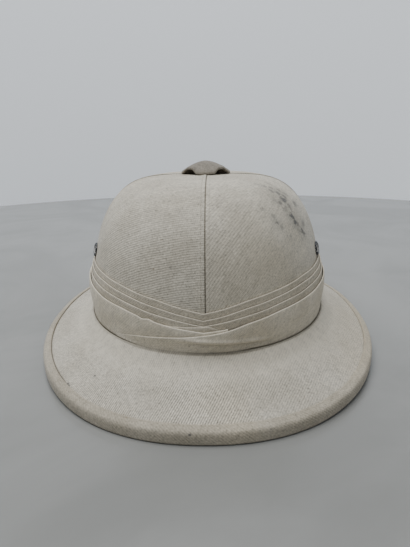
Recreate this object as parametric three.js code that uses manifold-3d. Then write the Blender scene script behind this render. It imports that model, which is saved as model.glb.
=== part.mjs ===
// A pith helmet: a hollow crown and brim moulded in one piece, covered with cotton drill. Four crown
// panels meet at seams over the front, the back and the sides, a bound edge stiffens the brim, a pleated
// puggaree wraps the crown, a lobed cap shelters the vent hole in the top, and an eyelet airs each side.
// Millimetres, +Z up. The front faces -Y, and the flat stretches of the rim rest on Z = 0.
import * as THREE from "three";
import { mergeVertices } from "three/addons/utils/BufferGeometryUtils.js";
import Module from "manifold-3d";

// Brim, measured over the cloth
const BRIM_WIDTH = 280;
const BRIM_LENGTH = 344;
const BRIM_SQUARENESS = 2.17; // 2 is an ellipse, and more is squarer
const BRIM_DISH = 0.25; // 0 is a straight slope, and more is steeper at the crown and flatter at the rim
const RIM_HEIGHT = 8.8; // upright face of the bound edge
const SIDE_LIFT = 4.5; // how far the rim stands off the table at the sides
const LIFT_POWER = 1.6; // 1 lifts evenly, and more lifts late
const REST_SHARE = 0.42; // share of the half width over which the rim lies flat on the table
const REST_DEPTH = 5; // how far in from the edge the rim's foot is flat

// Crown, measured over the cloth
const CROWN_WIDTH = 194; // at its foot
const CROWN_LENGTH = 233;
const CROWN_SQUARENESS = 2.12;
const CROWN_FORWARD = 9; // the brim is longer behind the crown than before it
const FOOT_HEIGHT = 33.5; // from the table to the corner between brim and crown
const CROWN_TOP = 138.5; // from the table to the top
const RISE_POWER = 2.54; // how square the shoulder is, upwards and outwards
const SPREAD_POWER = 4.64;
const CROWN_TAPER = 0.041; // share by which the crown leans in from foot to top
const PANEL_STOP = 2.5; // how far the crown's cloth ends above the corner between brim and crown
const COVER_START = 0.5; // how far out from that corner the brim's cloth begins

// Walls and cloth
const PITH = 5.5;
const CLOTH = 1;
const FIT = 0.35; // clearance between one layer and the next
const SEAM_GAP = 0.6; // between two crown panels, and between the puggaree's ends at the back

// Binding round the brim's edge
const BINDING_WIDTH = 6;
const BINDING_CHAMFER = 0.8;

// Puggaree
const PUGGAREE_HEIGHT = 45; // at the sides, from the corner at the crown's foot
const PLEAT_STEP = 0.8; // how far each pleat stands out past the one above it
const PLEAT_FALL = 0.3; // how far a pleat sinks back before the next one
const PLEAT_LIP = 0.6; // height over which a fold turns from its edge to its face
const PLEAT_TUCK = 5; // how far the pleats reach down behind the band
const BAND_FOOT = 0.3; // how far the band ends above the corner at the crown's foot
const BAND_LEAST = 0.6; // height of the tail's narrowest upright
const UNDER_END_TURN = 8; // where the left band ends, under the right band
const LAP_START_TURN = 26; // the right band climbs onto the left one between these two turns
const LAP_END_TURN = 12;

// Ventilator and eyelets
const VENT_HOLE = 18;
const CAP_WIDTH = 41;
const CAP_HEIGHT = 10.2;
const CAP_WALL = 1.6;
const CAP_ARCH = 3.2; // height of the openings between the cap's four lobes
const CAP_NOTCH = 0.1; // share by which the cap draws in at those openings
const CAP_POWER = 1.6; // 1 is a cone, 2 a bowl
const CAP_LOBES = 4;
const EYELET_TURN = 69;
const EYELET_HEIGHT = 84; // from the table
const EYELET_WIDTH = 11.5;
const EYELET_HOLE = 5;
const EYELET_WALL = 0.9;
const EYELET_DOME = 1.1;

// Facets
const AROUND = 48;
const CAP_AROUND = 32;
const EYELET_SIDES = 16;

const DRILL = { color: "#b8b3a6", roughness: 0.95, metalness: 0 };
const PITH_FINISH = { color: "#c9c1ae", roughness: 0.9, metalness: 0 };
const METAL = { color: "#3c3d40", roughness: 0.45, metalness: 0.9 };

// The puggaree's folds by turn, in degrees to either side of the front, as shares of its height: the upper
// edges of its three pleats and of the plain band below them.
const FOLDS = [
  { turn: 0, top: 0.6, second: 0.51, third: 0.433, band: 0.345 },
  { turn: 15, top: 0.745, second: 0.645, third: 0.545, band: 0.445 },
  { turn: 30, top: 0.845, second: 0.745, third: 0.645, band: 0.545 },
  { turn: 45, top: 0.917, second: 0.817, third: 0.706, band: 0.6 },
  { turn: 60, top: 0.956, second: 0.856, third: 0.745, band: 0.64 },
  { turn: 90, top: 1, second: 0.9, third: 0.79, band: 0.683 },
  { turn: 180, top: 0.978, second: 0.878, third: 0.767, band: 0.66 },
];

// The right band's upper edge where it crosses the front and tapers to a tail on the left.
const TAIL = [
  { turn: -38, edge: 0.055 },
  { turn: -24, edge: 0.2 },
  { turn: -12, edge: 0.26 },
  { turn: 0, edge: 0.317 },
  { turn: 15, edge: 0.445 },
];

// Rows down the crown, as shares of its spread over the shoulder, then as shares of its rise down the side.
const SHOULDER_SPREADS = [0.3, 0.5, 0.66, 0.78, 0.87, 0.93];
const SIDE_RISES = [0.47, 0.31, 0.15];
const INNER_SPREADS = [0.5, 0.78, 0.93];
const INNER_RISES = [0.31];
const BRIM_ROWS = 3; // strips of cloth between the corner and the binding
const UNDER_ROWS = 2;

const NORMAL_STEP = 1e-3; // of a rise or reach
const TURN_STEP = 0.05; // degrees
const HALVINGS = 40;
const QUARTER = 90; // degrees
const HALF = 2 * QUARTER;

const mix = THREE.MathUtils.lerp;
const power = (value, exponent) => Math.sign(value) * Math.abs(value) ** exponent;
const columnTurn = 360 / AROUND;

// Depths below the cloth's outer face are negative. The wraps lie above it.
const PITH_OUT = -(CLOTH + FIT);
const PITH_IN = PITH_OUT - PITH;
const PLEATS_OUT = FIT + CLOTH + 2 * PLEAT_STEP;

// Plans are seen from above and read by turn, in degrees: 0 at the front, 90 at the right, 180 at the back.
function plan(width, length, squareness, turn) {
  const angle = THREE.MathUtils.degToRad(turn);
  return new THREE.Vector2(
    (width / 2) * power(Math.sin(angle), 2 / squareness),
    (-length / 2) * power(Math.cos(angle), 2 / squareness),
  );
}
const rimPlan = (turn) => plan(BRIM_WIDTH, BRIM_LENGTH, BRIM_SQUARENESS, turn);
const crownShape = (turn) => plan(CROWN_WIDTH, CROWN_LENGTH, CROWN_SQUARENESS, turn);
const crownPlan = (turn) => crownShape(turn).sub(new THREE.Vector2(0, CROWN_FORWARD));
const brimWidthAt = (turn) => rimPlan(turn).distanceTo(crownPlan(turn));

// How far the rim's foot is off the table.
function rimLift(turn) {
  const side = Math.abs(rimPlan(turn).x) / (BRIM_WIDTH / 2);
  const share = THREE.MathUtils.clamp((side - REST_SHARE) / (1 - REST_SHARE), 0, 1);
  return SIDE_LIFT * share ** LIFT_POWER;
}

// The crown's width at a rise, as a share of its width at the foot.
const spreadAt = (rise) => (1 - rise ** RISE_POWER) ** (1 / SPREAD_POWER) * (1 - CROWN_TAPER * rise);

// The crown's outer face, from rise 0 at its foot to 1 at its top.
function crownSurface(rise, turn) {
  const foot = crownShape(turn).multiplyScalar(spreadAt(rise));
  return new THREE.Vector3(foot.x, foot.y - CROWN_FORWARD, mix(FOOT_HEIGHT, CROWN_TOP, rise));
}

const riseOfHeight = (height) => height / (CROWN_TOP - FOOT_HEIGHT);

// The rise at which the crown has narrowed to a share of its foot, found by halving.
function riseOfSpread(spread) {
  let low = 0;
  let high = 1;
  for (let step = 0; step < HALVINGS; step++) {
    const middle = (low + high) / 2;
    if (spreadAt(middle) > spread) low = middle;
    else high = middle;
  }
  return low;
}

// The brim's outer face, from reach 0 at the crown's foot to 1 at the rim.
function brimSurface(reach, turn) {
  const flat = crownPlan(turn).lerp(rimPlan(turn), reach);
  const rimTop = rimLift(turn) + RIM_HEIGHT - FIT - CLOTH;
  const height = mix(rimTop, FOOT_HEIGHT, (1 - reach) * (1 - BRIM_DISH * reach));
  return new THREE.Vector3(flat.x, flat.y, height);
}

// The direction that faces away from the hollow at a place on a surface.
function outward(surface, along, turn) {
  const down = surface(Math.max(0, along - NORMAL_STEP), turn);
  const up = surface(Math.min(1, along + NORMAL_STEP), turn);
  const left = surface(along, turn - TURN_STEP);
  const right = surface(along, turn + TURN_STEP);
  const normal = up.sub(down).cross(right.sub(left)).normalize();
  return normal.z < 0 ? normal.negate() : normal;
}
const raised = (surface, along, turn, depth) =>
  surface(along, turn).addScaledVector(outward(surface, along, turn), depth);
const onCrown = (rise, turn, depth) => raised(crownSurface, rise, turn, depth);
const onBrim = (inset, turn, depth) => raised(brimSurface, 1 - inset / brimWidthAt(turn), turn, depth);

// A point of the bound edge: in from its outermost face, at a height above the rim's foot.
function atRim(inset, height, turn) {
  const point = rimPlan(turn);
  const along = rimPlan(turn + TURN_STEP).sub(rimPlan(turn - TURN_STEP)).normalize();
  return new THREE.Vector3(point.x - along.y * inset, point.y + along.x * inset, rimLift(turn) + height);
}

// The rises of the crown's rows at a turn, from the edge of the vent hole down to the corner.
function crownRises(turn, spreads, rises) {
  const hole = VENT_HOLE / 2 / crownShape(turn).length();
  return [...[hole, ...spreads].map(riseOfSpread), ...rises, riseOfHeight(PANEL_STOP)];
}

// The insets of the brim's rows at a turn, from the corner out to the binding's inner edge.
function brimInsets(turn, rows) {
  const start = brimWidthAt(turn) - COVER_START;
  return Array.from({ length: rows + 1 }, (_, row) => mix(start, BINDING_WIDTH, row / rows));
}

const signedVolume = (points, [a, b, c]) => points[a].dot(points[b].clone().cross(points[c])) / 6;

// One closed body from points and triangles, with coincident points merged and its faces turned outwards.
function body(points, triangles) {
  const volume = triangles.reduce((sum, triangle) => sum + signedVolume(points, triangle), 0);
  const facing = volume > 0 ? triangles : triangles.map(([a, b, c]) => [a, c, b]);
  const loose = new THREE.BufferGeometry().setFromPoints(points);
  loose.setIndex(facing.flat());
  const merged = mergeVertices(loose);
  const index = merged.index.array;
  const kept = [];
  for (let start = 0; start < index.length; start += 3) {
    const [a, b, c] = index.slice(start, start + 3);
    if (a !== b && b !== c && c !== a) kept.push(a, b, c);
  }
  merged.setIndex(kept);
  merged.computeVertexNormals();
  return merged;
}

// Skins closed sections, all with as many points, into a ring, or into a wall with flat ends. A wall's
// section runs down one face and back up the other, so that its first half pairs with its second.
function skin(sections, isRing) {
  const size = sections[0].length;
  const strips = isRing ? sections.length : sections.length - 1;
  const triangles = [];
  const quad = (a, b, c, d) => triangles.push([a, b, c], [a, c, d]);
  for (let strip = 0; strip < strips; strip++) {
    const here = strip * size;
    const next = ((strip + 1) % sections.length) * size;
    for (let point = 0; point < size; point++) {
      const after = (point + 1) % size;
      quad(here + point, here + after, next + after, next + point);
    }
  }
  if (!isRing) {
    const last = strips * size;
    for (let point = 0; point < size / 2 - 1; point++) {
      const mate = size - 1 - point;
      quad(point, mate, mate - 1, point + 1);
      quad(last + point, last + point + 1, last + mate - 1, last + mate);
    }
  }
  return body(sections.flat(), triangles);
}

// Turns on the shared columns between two turns, with both ends.
function turnsBetween(from, to) {
  const turns = [from];
  for (let column = Math.floor(from / columnTurn) + 1; column * columnTurn < to; column++) {
    turns.push(column * columnTurn);
  }
  return [...turns, to];
}
const allTurns = Array.from({ length: AROUND }, (_, column) => column * columnTurn);

// The moulded pith: crown and brim in one wall, open below and at the vent hole, with a flat foot at the rim.
function pithSection(turn) {
  const top = crownRises(turn, SHOULDER_SPREADS, SIDE_RISES).map((rise) => onCrown(rise, turn, PITH_OUT));
  const brim = brimInsets(turn, BRIM_ROWS).map((inset) => onBrim(inset, turn, PITH_OUT));
  const edge = onBrim(-PITH_OUT, turn, PITH_OUT);
  const foot = [atRim(-PITH_OUT, -PITH_OUT, turn), atRim(REST_DEPTH, -PITH_OUT, turn)];
  const under = brimInsets(turn, UNDER_ROWS).reverse().map((inset) => onBrim(inset, turn, PITH_IN));
  const innerRises = crownRises(turn, INNER_SPREADS, INNER_RISES).reverse();
  const inside = innerRises.map((rise) => onCrown(rise, turn, PITH_IN));
  return [...top, ...brim, edge, ...foot, ...under, ...inside];
}

// One of the four cloth panels over the crown, kept clear of the seams at its ends.
function crownPanel(fromTurn) {
  const middle = crownShape(fromTurn + QUARTER / 2);
  const clear = (value, sign) => sign * Math.max(sign * value, SEAM_GAP / 2);
  const trim = (point) => {
    point.x = clear(point.x, Math.sign(middle.x));
    point.y = clear(point.y + CROWN_FORWARD, Math.sign(middle.y)) - CROWN_FORWARD;
    return point;
  };
  const sections = turnsBetween(fromTurn, fromTurn + QUARTER).map((turn) => {
    const rises = crownRises(turn, SHOULDER_SPREADS, SIDE_RISES);
    const outer = rises.map((rise) => trim(onCrown(rise, turn, 0)));
    const inner = rises.map((rise) => trim(onCrown(rise, turn, -CLOTH)));
    return [...outer, ...inner.reverse()];
  });
  return skin(sections, false);
}

// The cloth over the brim, from the corner to just inside the binding.
function brimCoverSection(turn) {
  const insets = [...brimInsets(turn, BRIM_ROWS), -PITH_OUT];
  const outer = insets.map((inset) => onBrim(inset, turn, 0));
  const inner = insets.map((inset) => onBrim(inset, turn, -CLOTH));
  return [...outer, ...inner.reverse()];
}

// The binding: a strip folded over the brim's edge and flat on the table below it.
function bindingSection(turn) {
  return [
    onBrim(BINDING_WIDTH, turn, FIT + CLOTH),
    onBrim(BINDING_CHAMFER, turn, FIT + CLOTH),
    atRim(0, RIM_HEIGHT - BINDING_CHAMFER, turn),
    atRim(0, BINDING_CHAMFER, turn),
    atRim(BINDING_CHAMFER, 0, turn),
    atRim(REST_DEPTH, 0, turn),
    onBrim(BINDING_WIDTH, turn, PITH_IN - FIT - CLOTH),
    onBrim(BINDING_WIDTH, turn, PITH_IN - FIT),
    atRim(REST_DEPTH, CLOTH, turn),
    atRim(CLOTH, CLOTH, turn),
    onBrim(CLOTH, turn, FIT),
    onBrim(BINDING_WIDTH, turn, FIT),
  ];
}

// Reads a table of shares by turn, with smooth curves between its rows.
function tableReader(rows, columns) {
  const turns = rows.map((row) => row.turn);
  const values = rows.flatMap((row) => columns.map((column) => row[column]));
  const curve = new THREE.CubicInterpolant(turns, values, columns.length);
  return (turn) => Array.from(curve.evaluate(turn), (share) => share * PUGGAREE_HEIGHT);
}
const readFolds = tableReader(FOLDS, ["top", "second", "third", "band"]);
const readTail = tableReader(TAIL, ["edge"]);
const foldsAt = (turn) => readFolds(Math.abs(turn > HALF ? turn - 2 * HALF : turn));
const bandEdgeAt = (turn) => foldsAt(turn)[3];

// The pleats: three folds, each standing out past the one above, with their lower end tucked behind the band.
function pleatSection(turn) {
  const [top, second, third, band] = foldsAt(turn);
  const face = FIT + CLOTH;
  const lower = band - PLEAT_TUCK;
  const at = (height, depth) => onCrown(riseOfHeight(height), turn, depth);
  return [
    at(top, face),
    at(second, face - PLEAT_FALL),
    at(second - PLEAT_LIP, face + PLEAT_STEP),
    at(third, face + PLEAT_STEP - PLEAT_FALL),
    at(third - PLEAT_LIP, PLEATS_OUT),
    at(lower, PLEATS_OUT - PLEAT_FALL),
    at(lower, FIT),
    at(third, FIT),
    at(second, FIT),
    at(top, FIT),
  ];
}

// A plain band round the crown's foot, from its upper edge down to the brim. It stands off the pleats at
// its upper edge, settles onto the crown below them, and climbs where it laps over the other band.
function bandSection(turn, edge, lap) {
  const tuckHeight = Math.min(edge, bandEdgeAt(turn)) - PLEAT_TUCK - PLEAT_LIP;
  const tucked = Math.max(tuckHeight, BAND_FOOT + BAND_LEAST);
  const upper = Math.max(edge, tucked + BAND_LEAST);
  const rows = [
    { height: upper, depth: PLEATS_OUT + FIT },
    { height: tucked, depth: PLEATS_OUT + FIT },
    { height: (tucked + BAND_FOOT) / 2, depth: (PLEATS_OUT + FIT * 3) / 2 },
    { height: BAND_FOOT, depth: FIT * 2 },
  ];
  const rise = lap * (FIT + CLOTH);
  const at = (row, depth) => onCrown(riseOfHeight(row.height), turn, row.depth + rise + depth);
  const outer = rows.map((row) => at(row, CLOTH));
  const inner = rows.map((row) => at(row, 0));
  return [...outer, ...inner.reverse()];
}

const backGapTurn = THREE.MathUtils.radToDeg(SEAM_GAP / CROWN_WIDTH);

function leftBand() {
  const turns = turnsBetween(backGapTurn - HALF, UNDER_END_TURN);
  return skin(turns.map((turn) => bandSection(turn, bandEdgeAt(turn), 0)), false);
}

function rightBand() {
  const tailEnd = TAIL[0].turn;
  const tailStart = TAIL[TAIL.length - 1].turn;
  const edgeAt = (turn) => (turn < tailStart ? readTail(turn)[0] : bandEdgeAt(turn));
  const lapAt = (turn) => 1 - THREE.MathUtils.smoothstep(turn, LAP_END_TURN, LAP_START_TURN);
  const turns = turnsBetween(tailEnd, HALF - backGapTurn);
  return skin(turns.map((turn) => bandSection(turn, edgeAt(turn), lapAt(turn))), false);
}

// The ventilator's cap: a shallow dome on four lobes, with an arched opening between each two.
function ventCap() {
  const shares = [0, 0.2, 0.4, 0.6, 0.8, 0.93, 1];
  const dome = (share) => 1 - share ** CAP_POWER;
  const sections = Array.from({ length: CAP_AROUND }, (_, column) => {
    const angle = (column / CAP_AROUND) * Math.PI * 2;
    const open = ((1 - Math.cos(CAP_LOBES * angle)) / 2) ** 2;
    const radius = (CAP_WIDTH / 2) * (1 - CAP_NOTCH * open);
    const base = CROWN_TOP + FIT + CAP_ARCH * open;
    const rise = CROWN_TOP + FIT + CAP_HEIGHT - base - CAP_WALL;
    const at = (out, height) =>
      new THREE.Vector3(Math.sin(angle) * out, -Math.cos(angle) * out - CROWN_FORWARD, height);
    const outer = shares.map((share) => at(radius * share, base + CAP_WALL + rise * dome(share)));
    const inner = shares.map((share) => at((radius - CAP_WALL) * share, base + rise * dome(share)));
    return [...outer, at(radius, base), ...inner.reverse()];
  });
  return skin(sections, true);
}

// Seats a piece modelled along +Y at an eyelet's place, so that +Y faces out of the crown.
function seatAtEyelet(mesh, side) {
  const rise = riseOfHeight(EYELET_HEIGHT - FOOT_HEIGHT);
  mesh.position.copy(crownSurface(rise, side * EYELET_TURN));
  const normal = outward(crownSurface, rise, side * EYELET_TURN);
  mesh.quaternion.setFromUnitVectors(new THREE.Vector3(0, 1, 0), normal);
  mesh.updateMatrix();
  return mesh;
}

// An eyelet: a domed flange on the cloth and a barrel through the wall.
function eyelet() {
  const hole = EYELET_HOLE / 2;
  const barrel = hole + EYELET_WALL;
  const profile = [
    [hole, PITH_IN],
    [barrel, PITH_IN],
    [barrel, FIT],
    [EYELET_WIDTH / 2, FIT],
    [EYELET_WIDTH / 2, FIT + EYELET_DOME / 3],
    [(EYELET_WIDTH / 2 + barrel) / 2, FIT + EYELET_DOME],
    [hole, FIT + EYELET_DOME / 2],
    [hole, PITH_IN],
  ].map(([radius, height]) => new THREE.Vector2(radius, height));
  const lathe = new THREE.LatheGeometry(profile, EYELET_SIDES);
  lathe.deleteAttribute("normal");
  lathe.deleteAttribute("uv");
  return mergeVertices(lathe);
}

const wasm = await Module();
wasm.setup();

function toManifold(geometry) {
  const plain = geometry.clone();
  plain.deleteAttribute("normal");
  plain.deleteAttribute("uv");
  const merged = mergeVertices(plain);
  return new wasm.Manifold(
    new wasm.Mesh({
      numProp: 3,
      vertProperties: Float32Array.from(merged.attributes.position.array),
      triVerts: Uint32Array.from(merged.index.array),
    }),
  );
}

function fromManifold(manifold) {
  const mesh = manifold.getMesh();
  const geometry = new THREE.BufferGeometry();
  geometry.setAttribute("position", new THREE.BufferAttribute(mesh.vertProperties, 3));
  geometry.setIndex(new THREE.BufferAttribute(mesh.triVerts, 1));
  geometry.computeVertexNormals();
  return geometry;
}

// Cuts the holes that the eyelets' barrels pass through.
function withEyeletHoles(geometry, sides) {
  const radius = EYELET_HOLE / 2 + EYELET_WALL + FIT;
  const length = -PITH_IN * 4; // well past both faces
  let solid = toManifold(geometry);
  for (const side of sides) {
    const drill = new THREE.CylinderGeometry(radius, radius, length, EYELET_SIDES);
    const placed = seatAtEyelet(new THREE.Mesh(drill), side);
    solid = solid.subtract(toManifold(drill.applyMatrix4(placed.matrix)));
  }
  return fromManifold(solid);
}

const ring = (section) => skin(allTurns.map(section), true);
const helmet = new THREE.Group();

function add(name, geometry, finish) {
  const mesh = new THREE.Mesh(geometry, new THREE.MeshStandardMaterial(finish));
  mesh.name = name;
  helmet.add(mesh);
  return mesh;
}

add("pith_shell", withEyeletHoles(ring(pithSection), [1, -1]), PITH_FINISH);
add("crown_panel_front_right", withEyeletHoles(crownPanel(0), [1]), DRILL);
add("crown_panel_back_right", crownPanel(QUARTER), DRILL);
add("crown_panel_back_left", crownPanel(HALF), DRILL);
add("crown_panel_front_left", withEyeletHoles(crownPanel(3 * QUARTER), [-1]), DRILL);
add("brim_cover", ring(brimCoverSection), DRILL);
add("brim_binding", ring(bindingSection), DRILL);
add("puggaree_pleats", ring(pleatSection), DRILL);
add("puggaree_band_left", leftBand(), DRILL);
add("puggaree_band_right", rightBand(), DRILL);
add("vent_cap", ventCap(), DRILL);
seatAtEyelet(add("eyelet_left", eyelet(), METAL), -1);
seatAtEyelet(add("eyelet_right", eyelet(), METAL), 1);

export default helmet;
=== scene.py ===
"""A pith helmet in aged cotton drill: panelled crown, bound brim, pleated puggaree, lobed cap and eyelets.

Metres, +Z up. The front faces -Y and the rim rests on Z = 0. Turns are degrees seen from above:
0 at the front, 90 on the right, 180 at the back.
"""

import logging
import math
from dataclasses import dataclass, field, replace
from enum import Enum
from typing import Callable

import bmesh
import bpy
import numpy as np
from mathutils import Matrix, Vector

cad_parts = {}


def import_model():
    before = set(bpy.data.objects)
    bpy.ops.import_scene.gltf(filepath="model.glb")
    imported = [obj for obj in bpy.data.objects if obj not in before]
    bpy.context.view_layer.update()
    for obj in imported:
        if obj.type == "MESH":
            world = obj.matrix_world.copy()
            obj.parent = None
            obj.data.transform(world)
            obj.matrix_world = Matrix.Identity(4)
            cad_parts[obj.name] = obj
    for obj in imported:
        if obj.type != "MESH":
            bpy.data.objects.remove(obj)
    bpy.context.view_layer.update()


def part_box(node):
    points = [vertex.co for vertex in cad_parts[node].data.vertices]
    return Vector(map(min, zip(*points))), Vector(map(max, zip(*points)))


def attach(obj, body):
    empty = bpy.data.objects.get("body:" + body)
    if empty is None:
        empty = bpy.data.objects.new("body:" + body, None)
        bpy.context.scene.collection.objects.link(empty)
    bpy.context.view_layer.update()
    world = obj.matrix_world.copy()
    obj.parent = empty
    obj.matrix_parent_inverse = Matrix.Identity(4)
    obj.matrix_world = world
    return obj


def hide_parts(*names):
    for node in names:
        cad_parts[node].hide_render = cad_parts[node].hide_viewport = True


LOG = logging.getLogger("pith_helmet")
MM = 0.001
HALF_TURN = 180.0
FULL_TURN = 360.0
CLOTH_UV = "Cloth"
# Vertex mask for real dirt at the seams and painted shade in gaps, folds, creases and hidden undersides.
GRIME_AND_SHADE = "grime_and_shade"
# Vertex mask for rubbing and painted light: highlights on fold edges, the brim lightened beside the band,
# and a glint round the eyelets' bores.
WEAR_AND_PAINTED_LIGHT = "wear_and_painted_light"
SHARP_ANGLE = 48.0
WELD_DISTANCE = 0.005 * MM
HALVINGS = 40
ALONG_STEP = 1e-3
TURN_STEP = 0.05
Surface = Callable[[np.ndarray, np.ndarray], np.ndarray]
Row = tuple[np.ndarray, np.ndarray, "np.ndarray | float"]


def signed_power(value: np.ndarray, exponent: float) -> np.ndarray:
    """Raises magnitudes to a power and keeps their signs."""
    return np.sign(value) * np.abs(value) ** exponent


def smoothstep(low: float, high: float, value: np.ndarray) -> np.ndarray:
    """A smooth ramp from 0 at low to 1 at high, which may run downwards."""
    share = np.clip((value - low) / (high - low), 0.0, 1.0)
    return share * share * (3 - 2 * share)


def hump(value: np.ndarray, centre: float, width: float) -> np.ndarray:
    """A bell of height 1 round a centre."""
    return np.exp(-(((value - centre) / width) ** 2))


def lerp(low: np.ndarray, high: np.ndarray, share: np.ndarray) -> np.ndarray:
    """A value part of the way from low to high."""
    return low + (high - low) * share


def unevenness(across: np.ndarray, along: np.ndarray, seed: float) -> np.ndarray:
    """Smooth irregular waves of about -1 to 1, the same in each run.

    Args:
        across: A coordinate in wavelengths.
        along: The other coordinate in wavelengths.
        seed: Shifts the pattern.

    Returns:
        The waves' heights.
    """
    first = np.sin(2.1 * across + 1.3 * np.sin(1.7 * along + seed) + seed)
    second = np.sin(1.6 * along + 1.1 * np.sin(2.3 * across - seed) + 2.0 * seed)
    third = np.sin(3.7 * across - 2.9 * along + 3.0 * seed)
    return (first + second + 0.6 * third) / 2.6


def signed_turn(turn: np.ndarray) -> np.ndarray:
    """Turns of 0 to 360 as -180 to 180, where the left is below 0."""
    return np.where(turn > HALF_TURN, turn - FULL_TURN, turn)


def strip_coordinates(points: np.ndarray, row: int) -> np.ndarray:
    """Cloth coordinates for a strip: its length by one of its rows, and its width by distance.

    Args:
        points: Places by column and row.
        row: The row that the length is measured on.

    Returns:
        Two numbers for each point.
    """
    steps = np.linalg.norm(np.diff(points, axis=1), axis=-1)
    across = np.concatenate([np.zeros((len(points), 1)), np.cumsum(steps, axis=1)], axis=1)
    lengths = np.linalg.norm(np.diff(points[:, row], axis=0), axis=-1)
    along = np.concatenate([[0.0], np.cumsum(lengths)])
    return np.stack([along[:, None] + 0.0 * across, across], -1)


def to_data(mesh: bmesh.types.BMesh, name: str) -> bpy.types.Mesh:
    """Makes mesh data of a mesh under construction and frees the latter.

    Args:
        mesh: The mesh under construction.
        name: The data's name.

    Returns:
        The data.
    """
    data = bpy.data.meshes.new(name)
    mesh.to_mesh(data)
    mesh.free()
    return data


def add_object(name: str, data: bpy.types.ID) -> bpy.types.Object:
    """Adds an object to the scene.

    Args:
        name: Its name.
        data: Its mesh, lamp or camera.

    Returns:
        The object.
    """
    made = bpy.data.objects.new(name, data)
    bpy.context.scene.collection.objects.link(made)
    return made


@dataclass(frozen=True)
class Stretch:
    """Turns between which something grows to its full strength, and between which it fades again."""

    start: float
    full: float
    fading: float
    end: float

    def share(self, turn: np.ndarray) -> np.ndarray:
        """The strength at each turn, 0 to 1."""
        turn = signed_turn(turn)
        return smoothstep(self.start, self.full, turn) * (1 - smoothstep(self.fading, self.end, turn))


class Slot(Enum):
    """The record's material slots."""

    PITH = "pith"
    CROWN = "crown_drill"
    BRIM = "brim_drill"
    BINDING = "binding_cloth"
    PUGGAREE = "puggaree_cotton"
    CAP = "cap_cloth"
    METAL = "eyelet_metal"


class Signal:
    """A node's output. Arithmetic on it adds Math nodes to its material."""

    def __init__(self, graph: "Graph", socket: bpy.types.NodeSocket) -> None:
        """Keeps the socket and the graph that it belongs to."""
        self.graph = graph
        self.socket = socket

    def math(self, operation: str, *others: "Signal | float") -> "Signal":
        """Applies a Math operation with this signal first."""
        return self.graph.math(operation, self, *others)

    def __add__(self, other: "Signal | float") -> "Signal":
        """Sum."""
        return self.math("ADD", other)

    __radd__ = __add__

    def __mul__(self, other: "Signal | float") -> "Signal":
        """Product."""
        return self.math("MULTIPLY", other)

    __rmul__ = __mul__

    def __sub__(self, other: "Signal | float") -> "Signal":
        """Difference."""
        return self.math("SUBTRACT", other)

    def __rsub__(self, other: "Signal | float") -> "Signal":
        """Difference from a number."""
        return self.graph.math("SUBTRACT", other, self)

    def above(self, low: float, high: float) -> "Signal":
        """A smooth mask, 0 below low and 1 above high."""
        sockets = {"Value": self, "From Min": low, "From Max": high}
        return self.graph.node("ShaderNodeMapRange", {"interpolation_type": "SMOOTHSTEP"}, sockets)

    def below(self, low: float, high: float) -> "Signal":
        """A smooth mask, 1 below low and 0 above high."""
        return 1.0 - self.above(low, high)


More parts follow.
